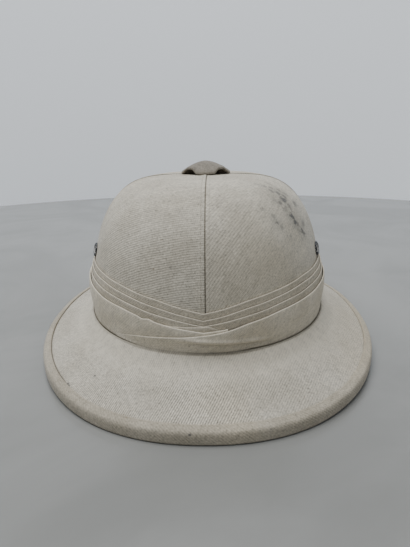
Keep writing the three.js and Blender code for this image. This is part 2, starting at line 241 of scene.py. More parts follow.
class Graph:
    """A material's node tree, built by calls."""

    def __init__(self, name: str) -> None:
        """Makes an empty node material.

        Args:
            name: Its name.
        """
        self.material = bpy.data.materials.new(name)
        self.material.use_nodes = True
        self.tree = self.material.node_tree
        self.tree.nodes.clear()

    def node(
        self, kind: str, settings: dict | None = None, sockets: dict | None = None, output: int | str = 0
    ) -> Signal:
        """Adds any node.

        Args:
            kind: The node's type.
            settings: Its properties, set first.
            sockets: Values or signals by a socket's name, identifier or number.
            output: The output to return.

        Returns:
            That output.
        """
        made = self.tree.nodes.new(kind)
        for name, value in (settings or {}).items():
            setattr(made, name, value)
        for key, value in (sockets or {}).items():
            socket = self._socket(made, key)
            if isinstance(value, Signal):
                self.tree.links.new(value.socket, socket)
            else:
                socket.default_value = value
        return Signal(self, made.outputs[output])

    @staticmethod
    def _socket(made: bpy.types.Node, key: int | str) -> bpy.types.NodeSocket:
        """Finds an input by number, identifier or name.

        Args:
            made: The node.
            key: Which input.

        Returns:
            The input.
        """
        if isinstance(key, int):
            return made.inputs[key]
        by_identifier = [socket for socket in made.inputs if socket.identifier == key]
        return by_identifier[0] if by_identifier else made.inputs[key]

    def place(self) -> Signal:
        """The helmet's own coordinates."""
        return self.node("ShaderNodeTexCoord", {}, {}, "Object")

    def axis(self, vector: Signal, name: str) -> Signal:
        """One number of a vector."""
        return self.node("ShaderNodeSeparateXYZ", {}, {0: vector}, name)

    def stored(self, name: str) -> Signal:
        """A value that the mesh keeps at each vertex."""
        return self.node("ShaderNodeAttribute", {"attribute_name": name}, {}, "Fac")

    def math(self, operation: str, *values: "Signal | float") -> Signal:
        """Adds a Math node on up to three values."""
        return self.node("ShaderNodeMath", {"operation": operation}, dict(enumerate(values)))

    def mix(self, factor: "Signal | float", first: object, second: object) -> Signal:
        """Mixes two colours.

        Args:
            factor: Share of the second colour.
            first: A colour or a signal.
            second: A colour or a signal.

        Returns:
            The mixed colour.
        """
        sockets = {"Factor_Float": factor, "A_Color": rgba(first), "B_Color": rgba(second)}
        return self.node("ShaderNodeMix", {"data_type": "RGBA"}, sockets, 2)

    def scaled(self, colour: Signal, amount: Signal) -> Signal:
        """Brightens or darkens a colour by a factor."""
        return self.node("ShaderNodeVectorMath", {"operation": "SCALE"}, {0: colour, "Scale": amount})

    def noise(self, vector: Signal, scale: float, detail: float = 3.0, distortion: float = 0.0) -> Signal:
        """A noise texture's value.

        Args:
            vector: The coordinates.
            scale: Features per unit.
            detail: Octaves.
            distortion: How far the pattern is warped.

        Returns:
            The noise, about 0.5 on average.
        """
        sockets = {"Vector": vector, "Scale": scale, "Detail": detail, "Distortion": distortion}
        return self.node("ShaderNodeTexNoise", {}, sockets)

    def stretched(self, vector: Signal, scales: tuple[float, float, float], angle: float = 0.0) -> Signal:
        """Coordinates turned about Z and then stretched along each axis.

        Args:
            vector: The coordinates.
            scales: Factor along each axis.
            angle: The turn, in radians.

        Returns:
            The new coordinates.
        """
        sockets = {"Vector": vector, "Angle": angle}
        turned = self.node("ShaderNodeVectorRotate", {"rotation_type": "Z_AXIS"}, sockets)
        return self.node("ShaderNodeVectorMath", {"operation": "MULTIPLY"}, {0: turned, 1: scales})

    def bump(self, height: Signal, distance: float, strength: float) -> Signal:
        """A normal disturbed by a height."""
        sockets = {"Height": height, "Distance": distance, "Strength": strength}
        return self.node("ShaderNodeBump", {}, sockets)

    def surface(self, sockets: dict) -> bpy.types.Material:
        """Ends the tree in a Principled shader.

        Args:
            sockets: Values or signals by a socket's name.

        Returns:
            The finished material.
        """
        shader = self.node("ShaderNodeBsdfPrincipled", {}, sockets)
        out = self.tree.nodes.new("ShaderNodeOutputMaterial")
        self.tree.links.new(shader.socket, out.inputs["Surface"])
        return self.material


def rgba(colour: object) -> object:
    """A colour with its alpha, or the signal as it is."""
    return colour if isinstance(colour, Signal) else (*colour, 1.0)


@dataclass(frozen=True)
class Stain:
    """A spot and the haze round it: turn in degrees, height above the table and radius in millimetres."""

    turn: float
    height: float
    radius: float
    strength: float
    haze: float = 0.3


@dataclass(frozen=True)
class DrillFinish:
    """Aged off-white cotton drill: twill, uneven yarns, yellowing, dirt and painted shade in the folds and
    gaps, and mildew stains.
    """

    name: str
    light: tuple[float, float, float] = (0.625, 0.585, 0.495)
    shade: tuple[float, float, float] = (0.53, 0.49, 0.405)
    warm: tuple[float, float, float] = (0.58, 0.505, 0.37)
    # Light colour for rubbed cloth and for painted highlights.
    worn_and_lit: tuple[float, float, float] = (0.75, 0.70, 0.585)
    # Dark colour for dirt and for painted shade.
    grime_and_shade: tuple[float, float, float] = (0.10, 0.085, 0.062)
    mildew: tuple[float, float, float] = (0.125, 0.124, 0.12)
    rust: tuple[float, float, float] = (0.22, 0.15, 0.09)
    twill_pitch: float = 0.0015
    twill_angle: float = 0.85
    twill_depth: float = 0.2
    grain_depth: float = 1.0
    pepper_depth: float = 0.2
    relief: float = 0.00022
    weave_strength: float = 0.6
    roughness: float = 0.9
    yellowing: float = 0.35

    def material(self, stains: list[tuple[Vector, Stain]] | None = None) -> bpy.types.Material:
        """Builds the node material.

        Args:
            stains: Where each mildew spot lies in the helmet's frame, if there are any.

        Returns:
            The material.
        """
        graph = Graph(self.name)
        cloth = graph.node("ShaderNodeUVMap", {"uv_map": CLOTH_UV})
        place = graph.place()
        ridge, threads = self._twill(graph, cloth)
        slubs = self._slubs(graph, cloth)
        mottle = graph.noise(place, 38.0, 4.0)
        colour = graph.mix(mottle.above(0.3, 0.72), self.light, self.shade)
        patches = graph.noise(place, 11.0, 2.0).above(0.46, 0.74)
        colour = graph.mix(patches * self.yellowing, colour, self.warm)
        grain = graph.noise(cloth, 760.0, 3.0)
        pepper = graph.noise(cloth, 620.0, 2.0, 0.4).above(0.58, 0.7)
        clumps = graph.noise(cloth, 230.0, 2.0)
        # Partly painted shade at the weave's scale: the twill's ribs and threads are lighter on their crests
        # and darker between them, more so on the left.
        side = graph.axis(place, "X").below(-0.03, 0.11)
        fading = graph.noise(place, 21.0, 2.0).above(0.34, 0.6) * (0.22 + 1.3 * side)
        twill = (ridge - 0.5) * (fading * 0.75 + 0.14) * self.twill_depth
        weave = (threads - 0.5) * (self.twill_depth * 0.5) + (grain - 0.5) * self.grain_depth
        brightness = 1.02 + slubs * 0.75 + twill + weave + (clumps - 0.5) * 0.34 - pepper * self.pepper_depth
        colour = graph.scaled(colour, brightness)
        flecks = graph.noise(place, 520.0, 2.0).above(0.715, 0.77)
        colour = graph.mix(flecks * 0.55, colour, self.rust)
        # Lightens by the stored mask: real rubbing, plus painted highlights on fold edges and painted light
        # on the brim beside the band.
        rubbed_and_lit = graph.stored(WEAR_AND_PAINTED_LIGHT)
        colour = graph.mix(rubbed_and_lit * clumps * 0.62, colour, self.worn_and_lit)
        if stains:
            colour = self._stained(graph, place, colour, stains)
        # Darkens by the stored mask: dirt at the seams, and painted shade in gaps, folds, creases and under
        # parts.
        soil_and_shade = graph.stored(GRIME_AND_SHADE)
        rub = graph.noise(place, 160.0, 3.0)
        colour = graph.mix(soil_and_shade * (0.72 + 0.5 * rub), colour, self.grime_and_shade)
        height = ridge * 0.7 + threads * 0.25 + slubs * 1.1
        normal = graph.bump(height, self.relief, self.weave_strength)
        rough = self.roughness - 0.07 * mottle
        return graph.surface(
            {
                "Base Color": colour,
                "Roughness": rough,
                "Normal": normal,
                "Sheen Weight": 0.12,
                "Sheen Roughness": 0.5,
                "Specular IOR Level": 0.25,
            }
        )

    def _twill(self, graph: Graph, cloth: Signal) -> tuple[Signal, Signal]:
        """The twill's diagonal ribs and the threads that cross them.

        Args:
            graph: The material's tree.
            cloth: Coordinates along the cloth.

        Returns:
            The ribs and the threads, each 0 to 1.
        """
        wander = graph.noise(cloth, 45.0, 2.0)
        turned = graph.stretched(cloth, (1.0, 1.0, 1.0), self.twill_angle)
        across = graph.axis(turned, "Y")
        along = graph.axis(turned, "X")
        turns = across * (math.tau / self.twill_pitch) + wander * 9.0
        ridge = turns.math("SINE") * 0.5 + 0.5
        steps = along * (math.tau / (self.twill_pitch * 0.62)) + turns * 0.5
        return ridge, steps.math("SINE") * 0.5 + 0.5

    @staticmethod
    def _slubs(graph: Graph, cloth: Signal) -> Signal:
        """Uneven yarns: streaks along the warp, the weft and the twill.

        Args:
            graph: The material's tree.
            cloth: Coordinates along the cloth.

        Returns:
            The streaks, about -0.5 to 0.5.
        """
        warp = graph.noise(graph.stretched(cloth, (1500.0, 70.0, 1.0)), 1.0, 2.0)
        weft = graph.noise(graph.stretched(cloth, (70.0, 1500.0, 1.0)), 1.0, 2.0)
        ribs = graph.noise(graph.stretched(cloth, (60.0, 420.0, 1.0), 0.85), 1.0, 2.0)
        return warp * 0.35 + weft * 0.35 + ribs * 0.5 - 0.6

    def _stained(
        self, graph: Graph, place: Signal, colour: Signal, stains: list[tuple[Vector, Stain]]
    ) -> Signal:
        """Adds the mildew: a faint grey bloom round the spots, and each spot broken up by the weave.

        Args:
            graph: The material's tree.
            place: The helmet's own coordinates.
            colour: The clean cloth.
            stains: Each spot with its centre.

        Returns:
            The stained cloth.
        """
        ragged = graph.noise(place, 380.0, 4.0, 0.5)
        bloom_noise = graph.noise(place, 120.0, 4.0)
        total = None
        haze = None
        for centre, stain in stains:
            away = graph.node(
                "ShaderNodeVectorMath", {"operation": "DISTANCE"}, {0: place, 1: tuple(centre)}, "Value"
            )
            reach = away * (1.0 / stain.radius) + (ragged - 0.5) * 2.6
            spot = reach.below(0.35, 1.35) * stain.strength
            total = spot if total is None else total.math("MAXIMUM", spot)
            glow = away.below(stain.radius, stain.radius * 5.0) * stain.haze
            haze = glow if haze is None else haze.math("MAXIMUM", glow)
        colour = graph.mix(haze * (0.6 + bloom_noise), colour, self.mildew)
        return graph.mix(total, colour, self.mildew)


@dataclass(frozen=True)
class PithFinish:
    """Bare moulded pith: pale, matt, with short fibres and pores."""

    name: str = "moulded_pith"
    light: tuple[float, float, float] = (0.52, 0.45, 0.33)
    dark: tuple[float, float, float] = (0.45, 0.38, 0.27)

    def material(self) -> bpy.types.Material:
        """Builds the node material.

        Returns:
            The material.
        """
        graph = Graph(self.name)
        place = graph.place()
        fibres = graph.noise(graph.stretched(place, (900.0, 900.0, 90.0)), 1.0, 4.0)
        pores = graph.node("ShaderNodeTexVoronoi", {}, {"Vector": place, "Scale": 480.0}, "Distance")
        cloud = graph.noise(place, 24.0, 4.0)
        colour = graph.mix(cloud.above(0.35, 0.7), self.light, self.dark)
        colour = graph.mix(fibres.above(0.5, 0.8) * 0.5, colour, self.dark)
        height = fibres * 0.6 + pores * 0.8
        normal = graph.bump(height, 0.0004, 0.6)
        rough = 0.88 + 0.1 * cloud
        return graph.surface({"Base Color": colour, "Roughness": rough, "Normal": normal})


@dataclass(frozen=True)
class EnamelFinish:
    """Dark enamelled metal, worn to bare metal in spots, and painted pale round the bore as a glint."""

    name: str = "eyelet_enamel"
    enamel: tuple[float, float, float] = (0.028, 0.03, 0.034)
    bare_and_glint: tuple[float, float, float] = (0.74, 0.72, 0.69)

    def material(self) -> bpy.types.Material:
        """Builds the node material.

        Returns:
            The material.
        """
        graph = Graph(self.name)
        place = graph.place()
        rubbed_and_lit = graph.stored(WEAR_AND_PAINTED_LIGHT)
        # Worn spots, plus a painted glint where the stored mask marks the bore.
        worn_and_lit = (graph.noise(place, 900.0, 4.0) + 0.3 * rubbed_and_lit).above(0.55, 0.68)
        dull = graph.noise(place, 2600.0, 3.0)
        colour = graph.mix(worn_and_lit * 0.85, self.enamel, self.bare_and_glint)
        rough = 0.32 + 0.25 * dull
        normal = graph.bump(dull, 0.00008, 0.5)
        metallic = 0.55 - 0.4 * worn_and_lit
        sockets = {"Base Color": colour, "Roughness": rough, "Metallic": metallic, "Normal": normal}
        return graph.surface(sockets)


@dataclass(frozen=True)
class PlainFinish:
    """A plain pale surface: faintly cloudy, unless it is made darker towards the front, and glowing with its
    own colour when glow is set.
    """

    name: str
    light: tuple[float, float, float]
    dark: tuple[float, float, float]
    roughness: float
    glow: float = 0.0
    facing: bool = False

    def material(self) -> bpy.types.Material:
        """Builds the node material.

        Returns:
            The material.
        """
        graph = Graph(self.name)
        place = graph.place()
        if self.facing:
            share = graph.axis(place, "Y").below(-0.5, 0.45)
        else:
            share = graph.noise(place, 5.0, 4.0, 1.2).above(0.3, 0.7)
        colour = graph.mix(share, self.light, self.dark)
        # With glow set, the surface shines with its own colour as painted light.
        sockets = {"Base Color": colour, "Roughness": self.roughness, "Emission Strength": self.glow}
        return graph.surface(sockets | ({"Emission Color": colour} if self.glow else {}))


@dataclass
class HelmetForm:
    """The outer faces of the crown's and the brim's cloth, which every piece is laid on."""

    brim_width: float
    brim_length: float
    crown_width: float
    crown_length: float
    crown_forward: float
    crown_top: float
    foot_height: float = 33.5 * MM
    brim_squareness: float = 2.17
    brim_dish: float = 0.25
    rim_height: float = 8.8 * MM
    side_lift: float = 4.5 * MM
    lift_power: float = 1.6
    rest_share: float = 0.42
    crown_squareness: float = 2.12
    rise_power: float = 2.54
    spread_power: float = 4.64
    taper: float = 0.041
    cloth: float = 1.0 * MM
    fit: float = 0.35 * MM
    pith: float = 5.5 * MM
    panel_stop: float = 2.5 * MM
    rest_depth: float = 5.0 * MM
    sweep: float = 1.9 * MM
    sweep_width: float = 12.0 * MM
    vent_hole: float = 18.0 * MM

    @classmethod
    def from_frame(cls) -> "HelmetForm":
        """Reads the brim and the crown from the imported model's pieces.

        Returns:
            The form.
        """
        rim_low, rim_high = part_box("brim_binding")
        front_low, right_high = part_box("crown_panel_front_right")
        left_low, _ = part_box("crown_panel_front_left")
        _, back_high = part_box("crown_panel_back_right")
        form = cls(
            brim_width=rim_high.x - rim_low.x,
            brim_length=rim_high.y - rim_low.y,
            crown_width=right_high.x - left_low.x,
            crown_length=back_high.y - front_low.y,
            crown_forward=-(back_high.y + front_low.y) / 2,
            crown_top=right_high.z,
        )
        stop = form.spread(form.rise_of_height(form.panel_stop))
        form.crown_width /= stop
        form.crown_length /= stop
        return form

    @property
    def pith_out(self) -> float:
        """Depth of the pith's outer face below the cloth's."""
        return -(self.cloth + self.fit)

    @property
    def pith_in(self) -> float:
        """Depth of the pith's inner face."""
        return self.pith_out - self.pith

    @staticmethod
    def plan(width: float, length: float, squareness: float, turn: np.ndarray) -> np.ndarray:
        """An outline seen from above.

        Args:
            width: Size across.
            length: Size from front to back.
            squareness: 2 for an ellipse, and more for a squarer outline.
            turn: Degrees from the front.

        Returns:
            Points, two numbers each.
        """
        angle = np.radians(turn)
        across = width / 2 * signed_power(np.sin(angle), 2 / squareness)
        along = -length / 2 * signed_power(np.cos(angle), 2 / squareness)
        return np.stack([across, along], -1)

    def rim_plan(self, turn: np.ndarray) -> np.ndarray:
        """The rim's outline."""
        return self.plan(self.brim_width, self.brim_length, self.brim_squareness, turn)

    def crown_shape(self, turn: np.ndarray) -> np.ndarray:
        """The crown's foot, about its own centre."""
        return self.plan(self.crown_width, self.crown_length, self.crown_squareness, turn)

    def crown_plan(self, turn: np.ndarray) -> np.ndarray:
        """The crown's foot in place."""
        return self.crown_shape(turn) - np.array([0.0, self.crown_forward])

    def brim_width_at(self, turn: np.ndarray) -> np.ndarray:
        """The brim's width at a turn."""
        return np.linalg.norm(self.rim_plan(turn) - self.crown_plan(turn), axis=-1)

    def rim_lift(self, turn: np.ndarray) -> np.ndarray:
        """How far the rim's foot is off the table.

        Args:
            turn: Degrees from the front.

        Returns:
            The lift.
        """
        side = np.abs(self.rim_plan(turn)[..., 0]) / (self.brim_width / 2)
        share = np.clip((side - self.rest_share) / (1 - self.rest_share), 0.0, 1.0)
        return self.side_lift * share**self.lift_power

    def spread(self, rise: np.ndarray) -> np.ndarray:
        """The crown's width at a rise, as a share of its width at the foot."""
        closing = np.maximum(1 - np.asarray(rise, float) ** self.rise_power, 0.0)
        return closing ** (1 / self.spread_power) * (1 - self.taper * rise)

    def rise_of_spread(self, spread: np.ndarray) -> np.ndarray:
        """Finds the rise at which the crown has narrowed to a share of its foot, by halving.

        Args:
            spread: The share.

        Returns:
            The rise, 0 at the foot and 1 at the top.
        """
        low = np.zeros_like(spread, float)
        high = np.ones_like(spread, float)
        for _ in range(HALVINGS):
            middle = (low + high) / 2
            wide = self.spread(middle) > spread
            low = np.where(wide, middle, low)
            high = np.where(wide, high, middle)
        return low

    def rise_of_height(self, height: np.ndarray) -> np.ndarray:
        """The rise at a height above the crown's foot."""
        return height / (self.crown_top - self.foot_height)

    def crown(self, rise: np.ndarray, turn: np.ndarray) -> np.ndarray:
        """Points on the crown's outer face.

        Args:
            rise: 0 at the foot and 1 at the top.
            turn: Degrees from the front.

        Returns:
            Points, three numbers each.
        """
        foot = self.crown_shape(turn) * self.spread(rise)[..., None]
        height = lerp(self.foot_height, self.crown_top, rise) + 0.0 * foot[..., 0]
        return np.stack([foot[..., 0], foot[..., 1] - self.crown_forward, height], -1)

    def brim(self, reach: np.ndarray, turn: np.ndarray) -> np.ndarray:
        """Points on the brim's outer face.

        Args:
            reach: 0 at the crown and 1 at the rim.
            turn: Degrees from the front.

        Returns:
            Points, three numbers each.
        """
        flat = lerp(self.crown_plan(turn), self.rim_plan(turn), reach[..., None])
        rim_top = self.rim_lift(turn) + self.rim_height - self.fit - self.cloth
        height = lerp(rim_top, self.foot_height, (1 - reach) * (1 - self.brim_dish * reach))
        return np.concatenate([flat, height[..., None]], -1)

    def swept_up(self, distance: np.ndarray) -> np.ndarray:
        """How far the brim's cloth rises where it sweeps up into the crown, by the distance from it."""
        return self.sweep * smoothstep(self.sweep_width, 1.0 * MM, distance)

    @staticmethod
    def outward(surface: Surface, along: np.ndarray, turn: np.ndarray) -> np.ndarray:
        """The direction that faces away from the hollow.

        Args:
            surface: The crown or the brim.
            along: The rise or the reach.
            turn: Degrees from the front.

        Returns:
            Directions of length 1.
        """
        before = surface(np.maximum(0.0, along - ALONG_STEP), turn)
        up = surface(np.minimum(1.0, along + ALONG_STEP), turn) - before
        across = surface(along, turn + TURN_STEP) - surface(along, turn - TURN_STEP)
        normal = np.cross(up, across)
        normal /= np.linalg.norm(normal, axis=-1, keepdims=True)
        return np.where(normal[..., 2:] < 0, -normal, normal)

    def on_crown(self, rise: np.ndarray, turn: np.ndarray, depth: np.ndarray) -> np.ndarray:
        """A point at a distance out from the crown's face."""
        rise, turn, depth = np.broadcast_arrays(rise, turn, depth)
        return self.crown(rise, turn) + self.outward(self.crown, rise, turn) * depth[..., None]

    def on_brim(self, inset: np.ndarray, turn: np.ndarray, depth: np.ndarray) -> np.ndarray:
        """A point at a distance in from the rim and out from the brim's face.

        Args:
            inset: Distance in from the rim.
            turn: Degrees from the front.
            depth: Distance out from the face.

        Returns:
            Points, three numbers each.
        """
        inset, turn, depth = np.broadcast_arrays(inset, turn, depth)
        reach = 1 - inset / self.brim_width_at(turn)
        return self.brim(reach, turn) + self.outward(self.brim, reach, turn) * depth[..., None]

    def at_rim(self, inset: float, height: float, turn: np.ndarray) -> np.ndarray:
        """A point in from the rim's outermost face, at a height above the rim's foot.

        Args:
            inset: Distance in from the rim.
            height: Height above the rim's foot.
            turn: Degrees from the front.

        Returns:
            Points, three numbers each.
        """
        point = self.rim_plan(turn)
        along = self.rim_plan(turn + TURN_STEP) - self.rim_plan(turn - TURN_STEP)
        along /= np.linalg.norm(along, axis=-1, keepdims=True)
        across = point[..., 0] - along[..., 1] * inset
        forward = point[..., 1] + along[..., 0] * inset
        return np.stack([across, forward, self.rim_lift(turn) + height], -1)

    def turn_beside_middle(self, across: np.ndarray, spread: np.ndarray) -> np.ndarray:
        """The turn at a distance to the right of the crown's middle line."""
        sine = signed_power(across / (self.crown_width / 2 * spread), self.crown_squareness / 2)
        return np.degrees(np.arcsin(np.clip(sine, -1, 1)))

    def turn_before_side(self, ahead: np.ndarray, spread: np.ndarray) -> np.ndarray:
        """The turn at a distance in front of the crown's side line."""
        cosine = signed_power(ahead / (self.crown_length / 2 * spread), self.crown_squareness / 2)
        return np.degrees(np.arccos(np.clip(cosine, -1, 1)))

    def meridian(self, rows: int, hole_share: float) -> tuple[np.ndarray, np.ndarray]:
        """Rows of even spacing down the crown's side.

        Args:
            rows: How many strips.
            hole_share: The spread at the edge of the vent hole.

        Returns:
            The rows' rises from the hole to the foot, and their distances from the top along the cloth.
        """
        upper = 1 - np.linspace(0, 1, 3000) ** 3 * 0.5
        lower = np.linspace(0.5, 0.0, 1000)[1:]
        rises = np.concatenate([upper, lower])
        spreads = self.spread(rises)
        radius = (self.crown_width + self.crown_length) / 4
        steps = np.hypot(np.diff(spreads) * radius, np.diff(rises) * (self.crown_top - self.foot_height))
        length = np.concatenate([[0.0], np.cumsum(steps)])
        start = np.interp(hole_share, spreads[: len(rises) - 1], length[: len(rises) - 1])
        stop = np.interp(-self.rise_of_height(self.panel_stop), -rises, length)
        places = np.linspace(start, stop, rows + 1)
        return np.interp(places, length, rises), places


@dataclass
class Piece:
    """A mesh under construction: an operator's grid, moved into place and given its cloth coordinates."""

    name: str
    mesh: bmesh.types.BMesh = field(default_factory=bmesh.new)

    def grid(
        self,
        points: np.ndarray,
        coordinates: np.ndarray,
        grime_and_shade: np.ndarray | None = None,
        wear_and_painted_light: np.ndarray | None = None,
    ) -> None:
        """Adds a sheet of faces through points.

        Args:
            points: Places by column and row, three numbers each.
            coordinates: Cloth coordinates by column and row, two numbers each.
            grime_and_shade: Dirt and painted shade by column and row, 0 to 1.
            wear_and_painted_light: Rubbing and painted light by column and row, 0 to 1.
        """
        columns, rows = points.shape[0] - 1, points.shape[1] - 1
        sheet = self.mesh
        bmesh.ops.create_grid(sheet, x_segments=columns, y_segments=rows, size=0.5)
        sheet.verts.ensure_lookup_table()
        flat = np.array([vertex.co for vertex in sheet.verts])
        across = np.rint((flat[:, 0] + 0.5) * columns).astype(int)
        down = np.rint((flat[:, 1] + 0.5) * rows).astype(int)
        # These layers keep the dirt and painted shade, and the rubbing and painted light.
        soil_and_shade = sheet.verts.layers.float.new(GRIME_AND_SHADE)
        rub = sheet.verts.layers.float.new(WEAR_AND_PAINTED_LIGHT)
        uv = sheet.loops.layers.uv.new(CLOTH_UV)
        for vertex, i, j in zip(sheet.verts, across, down):
            vertex.co = points[i, j]
            vertex[soil_and_shade] = 0.0 if grime_and_shade is None else float(grime_and_shade[i, j])
            vertex[rub] = 0.0 if wear_and_painted_light is None else float(wear_and_painted_light[i, j])
        places = list(zip(across, down))
        for face in sheet.faces:
            for loop in face.loops:
                loop[uv].uv = coordinates[places[loop.vert.index]]

    def add_shape(self, shape: bpy.types.Mesh, matrix: Matrix) -> None:
        """Adds a placed copy of a small shape.

        Args:
            shape: The shape.
            matrix: Where it goes.
        """
        count = len(self.mesh.verts)
        self.mesh.from_mesh(shape)
        self.mesh.verts.ensure_lookup_table()
        bmesh.ops.transform(self.mesh, matrix=matrix, verts=self.mesh.verts[count:])

    def weld(self, caps: bool = False) -> None:
        """Closes seams and poles, and turns the faces outwards.

        Args:
            caps: True to close the open ends with faces first.
        """
        bmesh.ops.remove_doubles(self.mesh, verts=self.mesh.verts, dist=WELD_DISTANCE)
        if caps:
            edges = [edge for edge in self.mesh.edges if edge.is_boundary]
            filled = bmesh.ops.holes_fill(self.mesh, edges=edges, sides=0)["faces"]
            bmesh.ops.triangulate(self.mesh, faces=filled)
        bmesh.ops.recalc_face_normals(self.mesh, faces=self.mesh.faces)

    def finish(
        self,
        material: bpy.types.Material,
        slot: Slot,
        stands_for: tuple[str, ...],
        wall: float = 0.0,
        holes: tuple[bpy.types.Object, ...] = (),
    ) -> None:
        """Makes the object, dresses it and puts it on the helmet.

        Args:
            material: Its finish.
            slot: Not used.
            stands_for: The nodes that it is shown instead of.
            wall: Thickness to give an open sheet, inwards.
            holes: Closed shapes to cut away.
        """
        made = add_object(self.name, to_data(self.mesh, self.name))
        made.data.materials.append(material)
        if wall:
            solid = made.modifiers.new("wall", "SOLIDIFY")
            solid.thickness = wall
            solid.offset = -1.0
            solid.use_even_offset = True
        for hole in holes:
            cut = made.modifiers.new("hole", "BOOLEAN")
            cut.object = hole
            cut.operation = "DIFFERENCE"
            cut.solver = "EXACT"
        if made.modifiers:
            self._apply_modifiers(made)
        for polygon in made.data.polygons:
            polygon.use_smooth = True
        made.data.set_sharp_from_angle(angle=math.radians(SHARP_ANGLE))
        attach(made, "root")
        if stands_for:
            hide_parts(*stands_for)
        triangles = sum(len(polygon.vertices) - 2 for polygon in made.data.polygons)
        LOG.info("%s: %d triangles", self.name, triangles)

    @staticmethod
    def _apply_modifiers(made: bpy.types.Object) -> None:
        """Bakes the modifiers into the mesh.

        Args:
            made: The object that has them.
        """
        graph = bpy.context.evaluated_depsgraph_get()
        baked = bpy.data.meshes.new_from_object(made.evaluated_get(graph), depsgraph=graph)
        made.modifiers.clear()
        old = made.data
        made.data = baked
        baked.name = made.name
        bpy.data.meshes.remove(old)


@dataclass
class Stitches:
    """Machine stitches: short rounded threads laid end to end along a line."""

    length: float = 2.3 * MM
    gap: float = 0.7 * MM
    thread: float = 0.42 * MM

    def shape(self) -> bpy.types.Mesh:
        """Makes one stitch along X, a small ball drawn out and flattened.

        Returns:
            The stitch.
        """
        made = bmesh.new()
        bmesh.ops.create_icosphere(made, subdivisions=1, radius=0.5)
        bmesh.ops.scale(made, vec=(self.length, self.thread, self.thread * 0.8), verts=made.verts)
        made.verts.layers.float.new(GRIME_AND_SHADE)
        uv = made.loops.layers.uv.new(CLOTH_UV)
        for face in made.faces:
            for loop in face.loops:
                loop[uv].uv = (loop.vert.co.x, loop.vert.co.y)
        return to_data(made, "stitch")

    def sew(self, piece: Piece, line: np.ndarray, normals: np.ndarray) -> int:
        """Sews along a line of points.

        Args:
            piece: The piece that the thread lies on.
            line: Points along the line.
            normals: The cloth's outward directions there.

        Returns:
            How many stitches were made.
        """
        shape = self.shape()
        steps = np.linalg.norm(np.diff(line, axis=0), axis=1)
        travelled = np.concatenate([[0.0], np.cumsum(steps)])
        pitch = self.length + self.gap
        count = int(travelled[-1] // pitch)
        for index in range(count):
            start = index * pitch
            ends = [self._at(travelled, line, start + share * self.length) for share in (0.0, 1.0)]
            up = Vector(self._at(travelled, normals, start + self.length / 2)).normalized()
            forward = (Vector(ends[1]) - Vector(ends[0])).normalized()
            side = up.cross(forward).normalized()
            middle = (Vector(ends[0]) + Vector(ends[1])) / 2
            matrix = Matrix((forward, side, forward.cross(side))).transposed().to_4x4()
            matrix.translation = middle
            piece.add_shape(shape, matrix)
        bpy.data.meshes.remove(shape)
        return count

    @staticmethod
    def _at(travelled: np.ndarray, values: np.ndarray, place: float) -> np.ndarray:
        """A value part of the way along the line."""
        return np.array([np.interp(place, travelled, values[:, axis]) for axis in range(3)])


